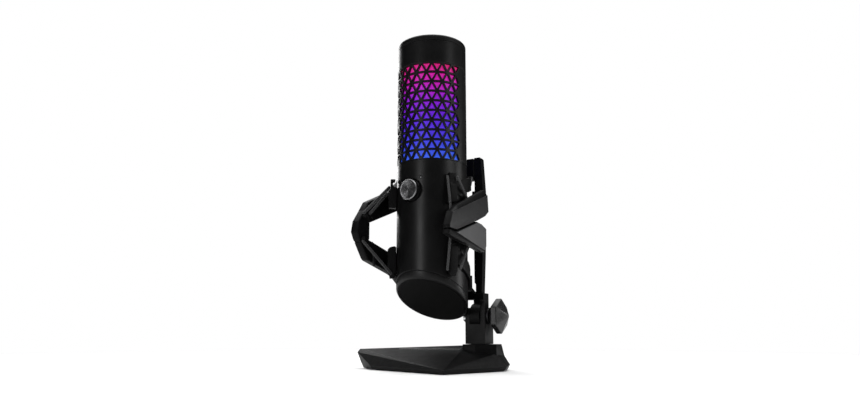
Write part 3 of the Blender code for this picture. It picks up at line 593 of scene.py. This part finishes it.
def make_floor():
    shape = bmesh.new()
    bmesh.ops.create_circle(shape, cap_ends=True, segments=96, radius=FLOOR_R)
    floor = mesh_object("floor", shape, "sole")
    paint = Finish("pale_floor", (0.86, 0.86, 0.86), 0.75, specular=0.2)
    paint.vary_colour(3.0, 0.02)
    paint.vary_roughness(12.0, 0.03)
    floor.data.materials.clear()
    floor.data.materials.append(paint.done())


# ---------------------------------------------------------------- microphone head
LATTICE_COLUMNS = 20
LATTICE_ROWS = 10
SIDE_STEPS = 6
HOLE_INSET = 0.62
HOLE_CHAMFER = 0.16
HOLE_TAPER = 0.30
CORNER_ROUND = 0.42
FRONT_PANEL = (-9.0, 81.5)
REAR_PANEL = (171.0, 63.5)

GRILLE_LOW, GRILLE_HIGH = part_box("grille_sleeve")
GRILLE_WALL = 1.9
ROW_HEIGHT = (GRILLE_HIGH.z - GRILLE_LOW.z) / MM / LATTICE_ROWS

DIFFUSER_WALL = 2.0
# How brightly each part of a cell is lit, and how far out its bright spots lie, as a share.
GLOW_EDGE = 0.22
GLOW_CORNER = 1.0
GLOW_SIDE = 0.42
GLOW_MIDDLE = 0.55
GLOW_BACK = 0.5
LOBE_PLACE = 0.52


def cell_corners(row, index):
    """A cell's corners as (arc length, height), counter-clockwise from outside, and its middle angle."""
    half = 180.0 / LATTICE_COLUMNS
    middle = index * half
    top = GRILLE_HIGH.z / MM - row * ROW_HEIGHT
    bottom = top - ROW_HEIGHT
    if (index + row) % 2 == 0:
        corners = [(middle - half, top), (middle, bottom), (middle + half, top)]
    else:
        corners = [(middle, top), (middle - half, bottom), (middle + half, bottom)]
    arc = math.radians(1.0) * TUBE_R
    return [Vector((angle * arc, height)) for angle, height in corners], middle


def is_open(middle):
    """True if the cell whose middle is at this angle lies on the front or the rear panel."""
    for centre, reach in (FRONT_PANEL, REAR_PANEL):
        if abs((middle - centre + 180.0) % 360.0 - 180.0) < reach:
            return True
    return False


def edge_loop(corners):
    """Points along the cell's edge, which its neighbours share."""
    loop = []
    for k in range(3):
        start, end = corners[k], corners[(k + 1) % 3]
        loop += [start.lerp(end, step / SIDE_STEPS) for step in range(SIDE_STEPS)]
    return loop


def hole_loop(corners, inset, rounding):
    """The hole's edge, point for point with edge_loop: the cell drawn in, with rounded corners."""
    sides = [(corners[k] - corners[(k + 1) % 3]).length for k in range(3)]
    weights = [sides[1], sides[2], sides[0]]
    centre = sum((corners[k] * weights[k] for k in range(3)), Vector((0.0, 0.0))) / sum(sides)
    span = corners[1] - corners[0]
    area = abs(span.cross(corners[2] - corners[0])) / 2
    inradius = 2 * area / sum(sides)
    drawn = [centre + (corner - centre) * (1 - inset / inradius) for corner in corners]
    turns = [rounded_corner(drawn[k - 1], drawn[k], drawn[(k + 1) % 3], rounding) for k in range(3)]
    loop = []
    for k in range(3):
        tip, near, start = turns[k][2:]
        finish, far = turns[(k + 1) % 3][:2]
        loop += [tip, near, start, start.lerp(finish, 0.5), finish, far]
    return loop


def rounded_corner(previous, corner, following, rounding):
    """Five points round a corner, from the side before it to the side after it."""
    ahead = (following - corner).normalized()
    behind = (previous - corner).normalized()
    half_turn = ahead.angle(behind) / 2
    back = rounding / math.tan(half_turn)
    pivot = corner + (ahead + behind).normalized() * (rounding / math.sin(half_turn))
    finish, start = corner + behind * back, corner + ahead * back
    tip = pivot + (corner - pivot).normalized() * rounding
    far, near = (pivot + ((end + tip) / 2 - pivot).normalized() * rounding for end in (finish, start))
    return finish, far, tip, near, start


def on_cylinder(point, radius):
    """Wraps an (arc length, height) point around the tube at a radius."""
    return around(math.degrees(point.x / TUBE_R), radius, point.y)


def close_sleeve(shape, *levels):
    """Merges the cells and joins the inner wall to the outer one at each end."""
    bmesh.ops.remove_doubles(shape, verts=shape.verts, dist=1e-6)
    for level in levels:
        rims = [e for e in shape.edges if e.is_boundary and abs(e.verts[0].co.z - level) < 1e-6]
        bmesh.ops.bridge_loops(shape, edges=rims)
    bmesh.ops.recalc_face_normals(shape, faces=shape.faces)


def make_grille():
    """Sleeve with a triangular lattice of tapered holes front and rear, and a plain strip on each side."""
    shape = bmesh.new()

    def ring(points, radius):
        return [shape.verts.new(on_cylinder(point, radius)) for point in points]

    inner = TUBE_R - GRILLE_WALL
    for row in range(LATTICE_ROWS):
        for index in range(2 * LATTICE_COLUMNS):
            corners, middle = cell_corners(row, index)
            edge = edge_loop(corners)
            outer_edge, inner_edge = ring(edge, TUBE_R), ring(edge, inner)
            if is_open(middle):
                lip_inset = HOLE_INSET + HOLE_CHAMFER
                rim = hole_loop(corners, HOLE_INSET, CORNER_ROUND + 0.15)
                lip = hole_loop(corners, lip_inset, CORNER_ROUND)
                back = hole_loop(corners, lip_inset + HOLE_TAPER, CORNER_ROUND * 0.5)
                join(shape, [outer_edge, ring(rim, TUBE_R), ring(lip, TUBE_R - HOLE_CHAMFER),
                             ring(back, inner), inner_edge])
            else:
                middle_point = sum(edge, Vector((0.0, 0.0))) / len(edge)
                for loop, radius in ((outer_edge, TUBE_R), (inner_edge, inner)):
                    hub = shape.verts.new(on_cylinder(middle_point, radius))
                    for k in range(len(loop)):
                        after = (k + 1) % len(loop)
                        shape.faces.new((loop[k], loop[after], hub))
    close_sleeve(shape, GRILLE_LOW.z, GRILLE_HIGH.z)
    grille = mesh_object("lattice_grille", shape, "grille", 25.0)
    round_normals(grille, TUBE_R)
    place(grille, "microphone", "tube_finish", "grille_sleeve")


def make_diffuser():
    """Glowing sleeve behind the lattice. Each cell's middle and corners carry how brightly it is lit."""
    low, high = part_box("light_diffuser")
    outer = (high.x - low.x) / 2 / MM
    inner = outer - DIFFUSER_WALL
    shape = bmesh.new()
    glow = shape.verts.layers.float.new("glow")

    def spot(point, radius, brightness):
        height = min(max(point.y, low.z / MM), high.z / MM)
        made = shape.verts.new(around(math.degrees(point.x / TUBE_R), radius, height))
        made[glow] = brightness
        return made

    for row in range(LATTICE_ROWS):
        for index in range(2 * LATTICE_COLUMNS):
            corners, _ = cell_corners(row, index)
            middle = sum(corners, Vector((0.0, 0.0))) / 3
            edge = edge_loop(corners)
            outer_ring = [spot(point, outer, GLOW_EDGE) for point in edge]
            lobe_ring = []
            for k, point in enumerate(edge):
                brightness = GLOW_CORNER if k % SIDE_STEPS == 0 else GLOW_SIDE
                lobe_ring.append(spot(middle.lerp(point, LOBE_PLACE), outer, brightness))
            hub = spot(middle, outer, GLOW_MIDDLE)
            back_ring = [spot(point, inner, GLOW_BACK) for point in edge]
            back_hub = spot(middle, inner, GLOW_BACK)
            for k in range(len(edge)):
                after = (k + 1) % len(edge)
                shape.faces.new((outer_ring[k], outer_ring[after], lobe_ring[after], lobe_ring[k]))
                shape.faces.new((lobe_ring[k], lobe_ring[after], hub))
                shape.faces.new((back_ring[after], back_ring[k], back_hub))
    close_sleeve(shape, low.z, high.z)
    diffuser = mesh_object("glowing_sleeve", shape, "diffuser", 60.0)
    place(diffuser, "microphone", "diffuser", "light_diffuser")


CHAMFER = 0.25
COLLAR_WALL = 5.0


def make_cap_and_collar():
    low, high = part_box("top_cap")
    bottom, top = low.z / MM, high.z / MM
    corner = 2.2
    arc = []
    for degrees in range(0, 91, 15):
        turn = math.radians(degrees)
        arc.append((TUBE_R - corner + corner * math.sin(turn), top - corner + corner * math.cos(turn)))
    profile = [(0.0, top), (TUBE_R - corner - 6.0, top), *arc, (TUBE_R, bottom + CHAMFER),
               (TUBE_R - CHAMFER, bottom), (0.0, bottom)]
    cap = turned("cap_shell", profile, "tube")
    place(cap, "microphone", "tube_finish", "top_cap")
    low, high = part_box("upper_collar")
    bottom, top = low.z / MM, high.z / MM
    inner = TUBE_R - COLLAR_WALL
    profile = [(TUBE_R - CHAMFER, top), (TUBE_R, top - CHAMFER), (TUBE_R, bottom + CHAMFER),
               (TUBE_R - CHAMFER, bottom), (inner, bottom), (inner, top)]
    collar = turned("collar_shell", profile, "tube")
    place(collar, "microphone", "tube_finish", "upper_collar")


# ---------------------------------------------------------------- tube and its bottom
SLANT = -0.55
TUBE_WALL = 2.2
DIAL_POS = Vector(JOINTS["dial_spin"]["pos_m"])
DIAL_OUT = Vector(JOINTS["dial_spin"]["axis"]).normalized()
DIAL_TURN = DIAL_OUT.to_track_quat("Z", "Y").to_matrix().to_4x4()
DIAL_SIDES = 128
DIAL_HOLE_R = 11.1
LED_ANGLE = 9.5
LED_R = 1.2
LED_HOLE_R = 1.5
JACK_HOLE_R = 3.3
PORT_HALF_WIDTH = 5.0
PORT_HALF_HEIGHT = 2.0
# How far the cuts in the tube reach: behind the axis, and along the dial's axis from its face.
REAR_CUT = (25.0, 40.0)
DIAL_CUT = (-20.0, 10.0)


def middle_height(node):
    low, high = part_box(node)
    return (low.z + high.z) / 2 / MM


def led_rod(name, inner, outer, radius, finish, sides):
    """A rod at the status light's place, between two distances from the tube's axis."""
    turn, height = math.radians(LED_ANGLE), middle_height("status_lens")
    start, end = ((r * math.sin(turn), -r * math.cos(turn), height) for r in (inner, outer))
    return rod(name, start, end, radius, finish, sides)


def level_at_axis(node, top):
    """The height, on the tube's axis, of the slanted top or bottom of a node."""
    low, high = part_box(node)
    if top:
        return high.z / MM - abs(SLANT) * (high.x - low.x) / 2 / MM
    return low.z / MM + abs(SLANT) * (high.x - low.x) / 2 / MM


def make_tube():
    low = level_at_axis("mic_tube", False)
    top = TUBE_HIGH.z / MM
    inner = TUBE_R - TUBE_WALL
    profile = [(TUBE_R - CHAMFER, top), (TUBE_R, top - CHAMFER), (TUBE_R, low + 0.3),
               (TUBE_R - CHAMFER, low), (inner, low), (inner, top)]
    tube = turned("tube_shell", profile, "tube")
    shear_with_y(tube, SLANT, low + 1.0)
    inward, outward = (DIAL_POS + DIAL_OUT * reach * MM for reach in DIAL_CUT)
    shape = bmesh.new()
    bmesh.ops.create_cone(shape, cap_ends=True, segments=96, radius1=DIAL_HOLE_R * MM,
                          radius2=DIAL_HOLE_R * MM, depth=(outward - inward).length,
                          matrix=Matrix.Translation((inward + outward) / 2) @ DIAL_TURN)
    cut(tube, mesh_object("dial_cutter", shape, "tube"))
    cut(tube, led_rod("led_cutter", TUBE_R - 7.0, TUBE_R + 4.0, LED_HOLE_R, "tube", 32))
    port_z = middle_height("usb_port")
    slot = block("port_cutter", (-PORT_HALF_WIDTH, REAR_CUT[0], port_z - PORT_HALF_HEIGHT),
                 (PORT_HALF_WIDTH, REAR_CUT[1], port_z + PORT_HALF_HEIGHT), "tube")
    soften(slot, 1.6, 4)
    cut(tube, slot)
    jack_z = middle_height("headphone_jack")
    cut(tube, rod("jack_cutter", (0.0, REAR_CUT[0], jack_z), (0.0, REAR_CUT[1], jack_z), JACK_HOLE_R,
                  "tube", 48))
    shade(tube)
    round_normals(tube, TUBE_R)
    place(tube, "microphone", "tube_finish", "mic_tube")


def make_bottom():
    low, high = level_at_axis("bottom_ring", False), level_at_axis("bottom_ring", True)
    inner = TUBE_R - TUBE_WALL
    profile = [(TUBE_R - CHAMFER, high), (TUBE_R, high - CHAMFER),
               (TUBE_R, low + 1.1), (TUBE_R - 0.35, low + 0.35),
               (TUBE_R - 1.1, low), (inner + 0.2, low), (inner, low + 0.2), (inner, high)]
    ring = turned("trim_ring", profile, "tube", smooth=40.0)
    shear_with_y(ring, SLANT)
    place(ring, "microphone", "tube_finish", "bottom_ring")
    low, high = level_at_axis("bottom_cover", False), level_at_axis("bottom_cover", True)
    radius = inner - 0.3
    profile = [(0.0, high), (radius, high), (radius, low + 0.4), (radius - 0.4, low), (0.0, low)]
    cover = turned("bottom_plate", profile, "bottom")
    shear_with_y(cover, SLANT)
    place(cover, "microphone", "soft_bottom", "bottom_cover")


# ---------------------------------------------------------------- dial
def turned_on_dial_axis(name, profile, finish):
    """A (radius, distance) profile turned about the dial's axis; distances run outwards from its face."""
    def point_on(angle, radius, distance):
        turn = math.radians(angle)
        return Vector((radius * math.cos(turn), radius * math.sin(turn), distance)) * MM

    obj = mesh_object(name, revolved(profile, DIAL_SIDES, point_on), finish)
    obj.matrix_world = Matrix.Translation(DIAL_POS) @ DIAL_TURN
    return obj


DIAL_R = 9.6
DIAL_DEPTH = 9.8
SHAFT_BORE_R = 3.1
# Where the recess round the dial starts and ends, as distances outwards from the dial's face.
RECESS_RIM = -7.2
RECESS_BACK = -14.2
RECESS_FLOOR = RECESS_BACK + 2.0


def make_dial():
    profile = [(0.0, -0.42), (DIAL_R - 1.75, -0.42), (DIAL_R - 1.55, -0.36), (DIAL_R - 1.30, -0.02),
               (DIAL_R - 1.10, 0.0), (DIAL_R - 0.75, -0.06), (DIAL_R - 0.12, -0.72), (DIAL_R, -1.0),
               (DIAL_R, -4.3), (DIAL_R - 0.22, -4.5), (DIAL_R - 0.22, -4.9), (DIAL_R, -5.1),
               (DIAL_R, -DIAL_DEPTH + 0.3), (DIAL_R - 0.3, -DIAL_DEPTH), (SHAFT_BORE_R, -DIAL_DEPTH),
               (SHAFT_BORE_R, -4.0), (0.0, -4.0)]
    dial = turned_on_dial_axis("spun_dial", profile, "dial_face")
    dial.data.materials.append(FINISHES["dial_side"])
    for polygon in dial.data.polygons:
        if polygon.center.z < -0.8 * MM:
            polygon.material_index = 1
    place(dial, "dial", "spun_metal", "gain_dial")
    profile = [(10.6, RECESS_RIM), (10.8, RECESS_RIM - 0.2), (10.8, RECESS_BACK), (SHAFT_BORE_R, RECESS_BACK),
               (SHAFT_BORE_R, RECESS_FLOOR), (10.0, RECESS_FLOOR), (10.0, RECESS_RIM - 0.2),
               (10.2, RECESS_RIM)]
    bezel = turned_on_dial_axis("dial_recess", profile, "cradle")
    place(bezel, "microphone", "cradle_plastic", "dial_bezel")


def make_lens():
    lens = led_rod("status_dot", TUBE_R - 3.0, TUBE_R - 0.25, LED_R, "lens", 40)
    soften(lens, 0.3, 3)
    place(lens, "microphone", "clear_lens", "status_lens")


# ---------------------------------------------------------------- cradle on the tube
def make_cradle():
    for level in ("upper", "lower"):
        band = refined(level + "_band", "cradle", 0.2)
        place(band, "microphone", "cradle_plastic", level + "_band")
        for side in ("left", "right"):
            node = "hook_block_%s_%s" % (level, side)
            place(refined(node, "cradle", 0.15), "microphone", "cradle_plastic", node)


# ---------------------------------------------------------------- tilting frame
ARM_IN = 39.0
ARM_OUT = 46.0
PANEL_X = ARM_OUT - 0.5
SCREW_R = 1.1
UPPER_ARM = [(-56.8, 120.8), (-56.8, 123.4), (-50.4, 135.6), (-39.0, 142.4), (24.0, 168.0), (26.0, 163.4),
             (28.2, 147.0), (19.8, 141.4), (2.6, 134.9), (-43.0, 120.4)]
UPPER_FACET = [(-56.4, 121.2), (-56.2, 123.2), (-50.0, 135.2), (-40.0, 138.9), (23.8, 162.2), (25.8, 162.9),
               (27.8, 147.2), (19.6, 141.8), (2.5, 135.3), (-43.1, 120.8)]
LOWER_ARM = [(-56.4, 116.0), (-56.4, 119.8), (-43.0, 119.6), (2.0, 134.2), (12.0, 133.4), (22.2, 130.4),
             (21.8, 113.0), (18.6, 107.8), (-50.0, 114.6)]
LOWER_FACET = [(-55.0, 117.6), (-55.0, 119.4), (-43.0, 119.2), (2.0, 133.6), (12.0, 132.9), (21.7, 130.0),
               (21.3, 113.4), (18.3, 108.8), (-48.0, 117.0)]
LOWER_PANEL = [(-41.8, 118.6), (2.0, 133.2), (12.0, 132.5), (21.3, 129.8), (20.9, 113.8), (18.1, 109.6)]


def ring_at(x, outline):
    return [(x, y, z) for y, z in outline]


def drawn_in(outline, distance):
    """An outline drawn in towards its middle by about a distance."""
    middle = sum((Vector(p) for p in outline), Vector((0.0, 0.0))) / len(outline)
    return [tuple(Vector(p) + (middle - Vector(p)).normalized() * distance) for p in outline]


def screw(name, centre):
    """A small round-headed screw with a cross recess, facing along X, on the frame."""
    x, y, z = centre
    head = rod(name, (x, y, z), (x + 0.9, y, z), SCREW_R, "dark_steel")
    soften(head, 0.35, 3)
    for wide, tall in ((0.28, SCREW_R * 0.62), (SCREW_R * 0.62, 0.28)):
        cut(head, block(name + "_recess", (x + 0.35, y - wide, z - tall), (x + 1.4, y + wide, z + tall),
                        "dark_steel"))
    shade(head)
    place(head, "frame", "bright_steel")


def make_right_arms():
    """Both arms, each a body whose outer facet is framed by a chamfer, with a thin panel let into it."""
    for level, outline, facet, chamfer, panel, crest in (
            ("upper", UPPER_ARM, UPPER_FACET, 2.6, drawn_in(UPPER_FACET, 0.35), drawn_in(UPPER_FACET, 0.6)),
            ("lower", LOWER_ARM, LOWER_FACET, 1.8, LOWER_PANEL, drawn_in(LOWER_PANEL, 0.3))):
        rings = [ring_at(ARM_IN, drawn_in(outline, 0.8)), ring_at(ARM_IN + 0.8, outline),
                 ring_at(ARM_OUT - chamfer, outline), ring_at(PANEL_X, facet)]
        body = loft("right_%s_body" % level, rings, "frame")
        soften(body, 0.3, 2, 12.0)
        place(body, "frame", "arm_grey", "right_%s_arm" % level)
        # The upper panel's darker grey is painted shade and the lower panel's lighter grey is painted light.
        rings = [ring_at(PANEL_X + 0.02, panel), ring_at(ARM_OUT - 0.2, panel), ring_at(ARM_OUT, crest)]
        panel_piece = loft("right_%s_panel" % level, rings, level + "_panel")
        soften(panel_piece, 0.08, 2)
        place(panel_piece, "frame", "arm_grey")


# Tongues that lap the seams of the left arm from inside, as (y, z).
SEAM_TONGUES = {
    "left_seam_upper": [(-46.9, 130.9), (-46.2, 134.0), (-54.9, 143.6), (-57.0, 140.2)],
    "left_seam_lower": [(-62.0, 115.4), (-59.8, 112.4), (-46.9, 115.6), (-46.9, 118.4)],
}


def make_left_arms():
    for node in ("left_upper_arm", "left_cheek", "left_lower_arm"):
        place(refined(node, "frame", 0.14), "frame", "frame_plastic", node)
    screw("left_screw_upper", (-ARM_IN, -43.5, 137.4))
    screw("left_screw_lower", (-ARM_IN, -42.5, 114.5))
    for name, outline in SEAM_TONGUES.items():
        tongue = loft(name, [ring_at(-ARM_OUT + 0.6, outline), ring_at(-ARM_IN - 0.6, outline)], "frame")
        place(tongue, "frame", "frame_plastic")
    foot = [(-41.2, 94.0), (-36.8, 93.2), (-36.8, 104.4), (-41.2, 104.4)]
    crest = [(-40.4, 95.0), (-37.6, 94.4), (-37.6, 103.4), (-40.4, 103.4)]
    rib = loft("left_arm_rib", [ring_at(-ARM_IN, foot), ring_at(-ARM_IN + 1.2, crest)], "knob")
    soften(rib, 0.25, 2)
    place(rib, "frame", "frame_plastic")


def make_back_frame():
    for node in ("lower_rail", "upper_plate", "upper_bridge", "lower_bridge"):
        place(refined(node, "frame", 0.3), "frame", "frame_plastic", node)
    for node in sorted(NODES):
        if node.startswith("peg_"):
            place(refined(node, "frame", 0.15), "frame", "bright_steel", node)


# ---------------------------------------------------------------- elastic strands
CORD_R = 0.74
CORD_GAP = 0.80
PEG_WRAP = 2.35
SPLIT_LENGTH = 7.0
# Each strand: the middle of what it loops over on the frame, how wide it wraps there, and its hook end.
STRANDS = {
    "strand_left_upper_outer": ((-37.2, -59.4, 139.4), CORD_GAP, (-33.3, -22.2, 169.4)),
    "strand_left_upper_inner": ((-37.2, -49.1, 140.6), CORD_GAP, (-35.2, -23.2, 163.4)),
    "strand_left_lower": ((-37.2, -59.8, 114.0), CORD_GAP, (-28.9, -24.8, 87.6)),
    "strand_right_upper_front": ((36.9, -35.0, 136.6), PEG_WRAP, (31.6, -31.2, 171.2)),
    "strand_right_upper_rear": ((36.9, 6.0, 149.4), PEG_WRAP, (36.3, -20.6, 172.4)),
    "strand_right_lower_front": ((36.9, -36.0, 122.0), PEG_WRAP, (31.2, -31.6, 88.2)),
    "strand_right_lower_rear": ((36.9, 8.4, 121.2), PEG_WRAP, (37.4, -18.2, 90.4)),
    "strand_rear_right": ((23.0, 41.2, 185.0), CORD_GAP, (27.0, 28.8, 175.4)),
    "strand_rear_left": ((-34.6, 41.2, 181.4), CORD_GAP, (-27.0, 28.8, 172.6)),
}


def half_width(distance, wrap):
    """How far each side of a loop runs from its middle line, at a distance from the peg."""
    turn_away = wrap * 0.5
    if distance <= turn_away:
        return math.sqrt(max(wrap * wrap - distance * distance, 0.0))
    edge = math.sqrt(wrap * wrap - turn_away * turn_away)
    part = min((distance - turn_away) / SPLIT_LENGTH, 1.0)
    eased = part * part * (3 - 2 * part)
    return edge + (CORD_GAP - edge) * eased


def loop_path(start, wrap, end):
    """A closed elastic loop around a peg, its two sides drawn together towards the hook."""
    first, last = Vector(start), Vector(end)
    along = (last - first).normalized()
    length = (last - first).length
    sideways = along.cross(Vector((1.0, 0.0, 0.0))).normalized()
    near = [-wrap * math.cos(math.radians(a)) for a in range(0, 91, 15)]
    far = [length * k / 24 for k in range(1, 24) if length * k / 24 > 0.4]
    tip = [(length - CORD_GAP + CORD_GAP * math.sin(math.radians(a)), CORD_GAP * math.cos(math.radians(a)))
           for a in range(0, 91, 30)]
    sides = [(d, half_width(d, wrap)) for d in near + far if d < length - CORD_GAP] + tip
    upper = [first + along * d + sideways * w for d, w in sides]
    lower = [first + along * d - sideways * w for d, w in sides[1:-1]]
    return upper + lower[::-1]


def closed_cord(name, path, radius, finish):
    """A round cord along a closed path given in millimetres, as a mesh."""
    curve = bpy.data.curves.new(name, "CURVE")
    curve.dimensions = "3D"
    curve.bevel_depth = radius * MM
    curve.bevel_resolution = 4
    line = curve.splines.new("POLY")
    line.points.add(len(path) - 1)
    for spot, point in zip(line.points, path):
        spot.co = (*at(*point), 1.0)
    line.use_cyclic_u = True
    made = bpy.data.objects.new(name + "_curve", curve)
    bpy.context.scene.collection.objects.link(made)
    bpy.context.view_layer.update()
    mesh = bpy.data.meshes.new_from_object(made.evaluated_get(bpy.context.evaluated_depsgraph_get()))
    bpy.data.objects.remove(made, do_unlink=True)
    shape = bmesh.new()
    shape.from_mesh(mesh)
    bmesh.ops.remove_doubles(shape, verts=shape.verts, dist=1e-7)
    bmesh.ops.recalc_face_normals(shape, faces=shape.faces)
    return mesh_object(name, shape, finish, 60.0)


def make_strands():
    for node, (start, wrap, end) in STRANDS.items():
        strand = closed_cord(node + "_loop", loop_path(start, wrap, end), CORD_R, "elastic")
        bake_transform(strand)
        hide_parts(node)


# ---------------------------------------------------------------- stand
RIB_COUNT = 25
RIB_START = (-50.0, 27.6)
RIB_END = (14.0, 24.6)
RIB_REACH = (1.0, 6.4)
RIB_HALF = 0.5
RIB_RISE = 0.7
RIB_SLOPE = 0.7
# Heights below and above the base of the dark strip under the ribs, which paints shade between them.
RIB_SHADE_STRIP = (-0.2, 0.08)


def add_rib(shape, start, end):
    """A low rounded rib between two points on the base, with sloping ends."""
    along = (end - start).normalized()
    side = along.cross(Vector((0.0, 0.0, 1.0))).normalized()
    up = side.cross(along)
    rows = []
    length = (end - start).length / MM
    for distance, share in ((0.0, 0.25), (RIB_SLOPE, 1.0), (length - RIB_SLOPE, 1.0), (length, 0.25)):
        middle = start + along * distance * MM
        row = [(-1.0, -0.5), (-0.75, 0.6 * share), (-0.3, share),
               (0.3, share), (0.75, 0.6 * share), (1.0, -0.5)]
        rows.append([shape.verts.new(middle + (side * RIB_HALF * across + up * RIB_RISE * rise) * MM)
                     for across, rise in row])
    bridge(shape, rows)


def make_base():
    cover = refined("base_cover", "base", 0.3, 2, 4.0)
    place(cover, "stand", "base_finish", "base_cover")
    bpy.context.view_layer.update()
    shape = bmesh.new()
    strips = []
    for k in range(RIB_COUNT):
        part = k / (RIB_COUNT - 1)
        x, y = (first + (last - first) * part for first, last in zip(RIB_START, RIB_END))
        ends = []
        for side in (0.0, 1.0):
            spot = at(x + RIB_REACH[0] * side, y + RIB_REACH[1] * side, 60.0)
            hit, where, _, _ = cover.ray_cast(spot, Vector((0.0, 0.0, -1.0)))
            if hit:
                ends.append(where)
        if len(ends) == 2:
            add_rib(shape, *ends)
            strips.append(ends)
    bmesh.ops.recalc_face_normals(shape, faces=shape.faces)
    # The ribs take the light grey finish, a painted highlight on the raised ribs.
    place(mesh_object("base_ribs", shape, "rib", 40.0), "stand", "base_finish")
    # The dark strip under the ribs is painted shade.
    make_rib_shade_strip(strips[0], strips[-1])


def make_rib_shade_strip(first, last):
    """A dark strip under the ribs, from the first rib's ends to the last rib's: painted shade between the
    ribs.
    """
    shape = bmesh.new()
    corners = (first[0], last[0], last[1], first[1])
    bridge(shape, [[shape.verts.new(corner + Vector((0.0, 0.0, lift * MM))) for corner in corners]
                   for lift in RIB_SHADE_STRIP])
    bmesh.ops.recalc_face_normals(shape, faces=shape.faces)
    place(mesh_object("rib_shade_strip", shape, "bottom"), "stand", "base_finish")


def make_stand():
    place(refined("post", "post", 0.3), "stand", "base_finish", "post")
    place(refined("clamp_knob", "knob", 0.3, 2, 8.0), "clamp", "knob_finish", "clamp_knob")
    place(refined("pivot_bolt", "steel", 0.2), "stand", "bright_steel", "pivot_bolt")
    place(refined("friction_washer", "dark_steel", 0.2), "stand", "bright_steel", "friction_washer")
    place(refined("base_sole", "sole", 0.25), "stand", "sole_rubber", "base_sole")


# ---------------------------------------------------------------- pieces out of sight
INNER_FINISHES = {
    "base_weight": "steel", "base_screw_left": "steel", "base_screw_right": "steel", "foam_liner": "foam",
    "led_ring_board": "board", "main_board": "board", "mic_chassis": "cradle", "capsule_mount": "cradle",
    "condenser_capsule": "brass", "usb_port": "steel", "headphone_jack": "cradle", "dial_encoder": "steel",
    "dial_shaft": "steel",
}


def dress_inner_parts():
    for node, finish in INNER_FINISHES.items():
        dress(NODES[node], finish)


def main():
    make_camera()
    make_lights()
    make_floor()
    make_cap_and_collar()
    make_grille()
    make_diffuser()
    make_tube()
    make_bottom()
    make_dial()
    make_lens()
    make_cradle()
    make_right_arms()
    make_left_arms()
    make_back_frame()
    make_strands()
    make_base()
    make_stand()
    dress_inner_parts()


main()
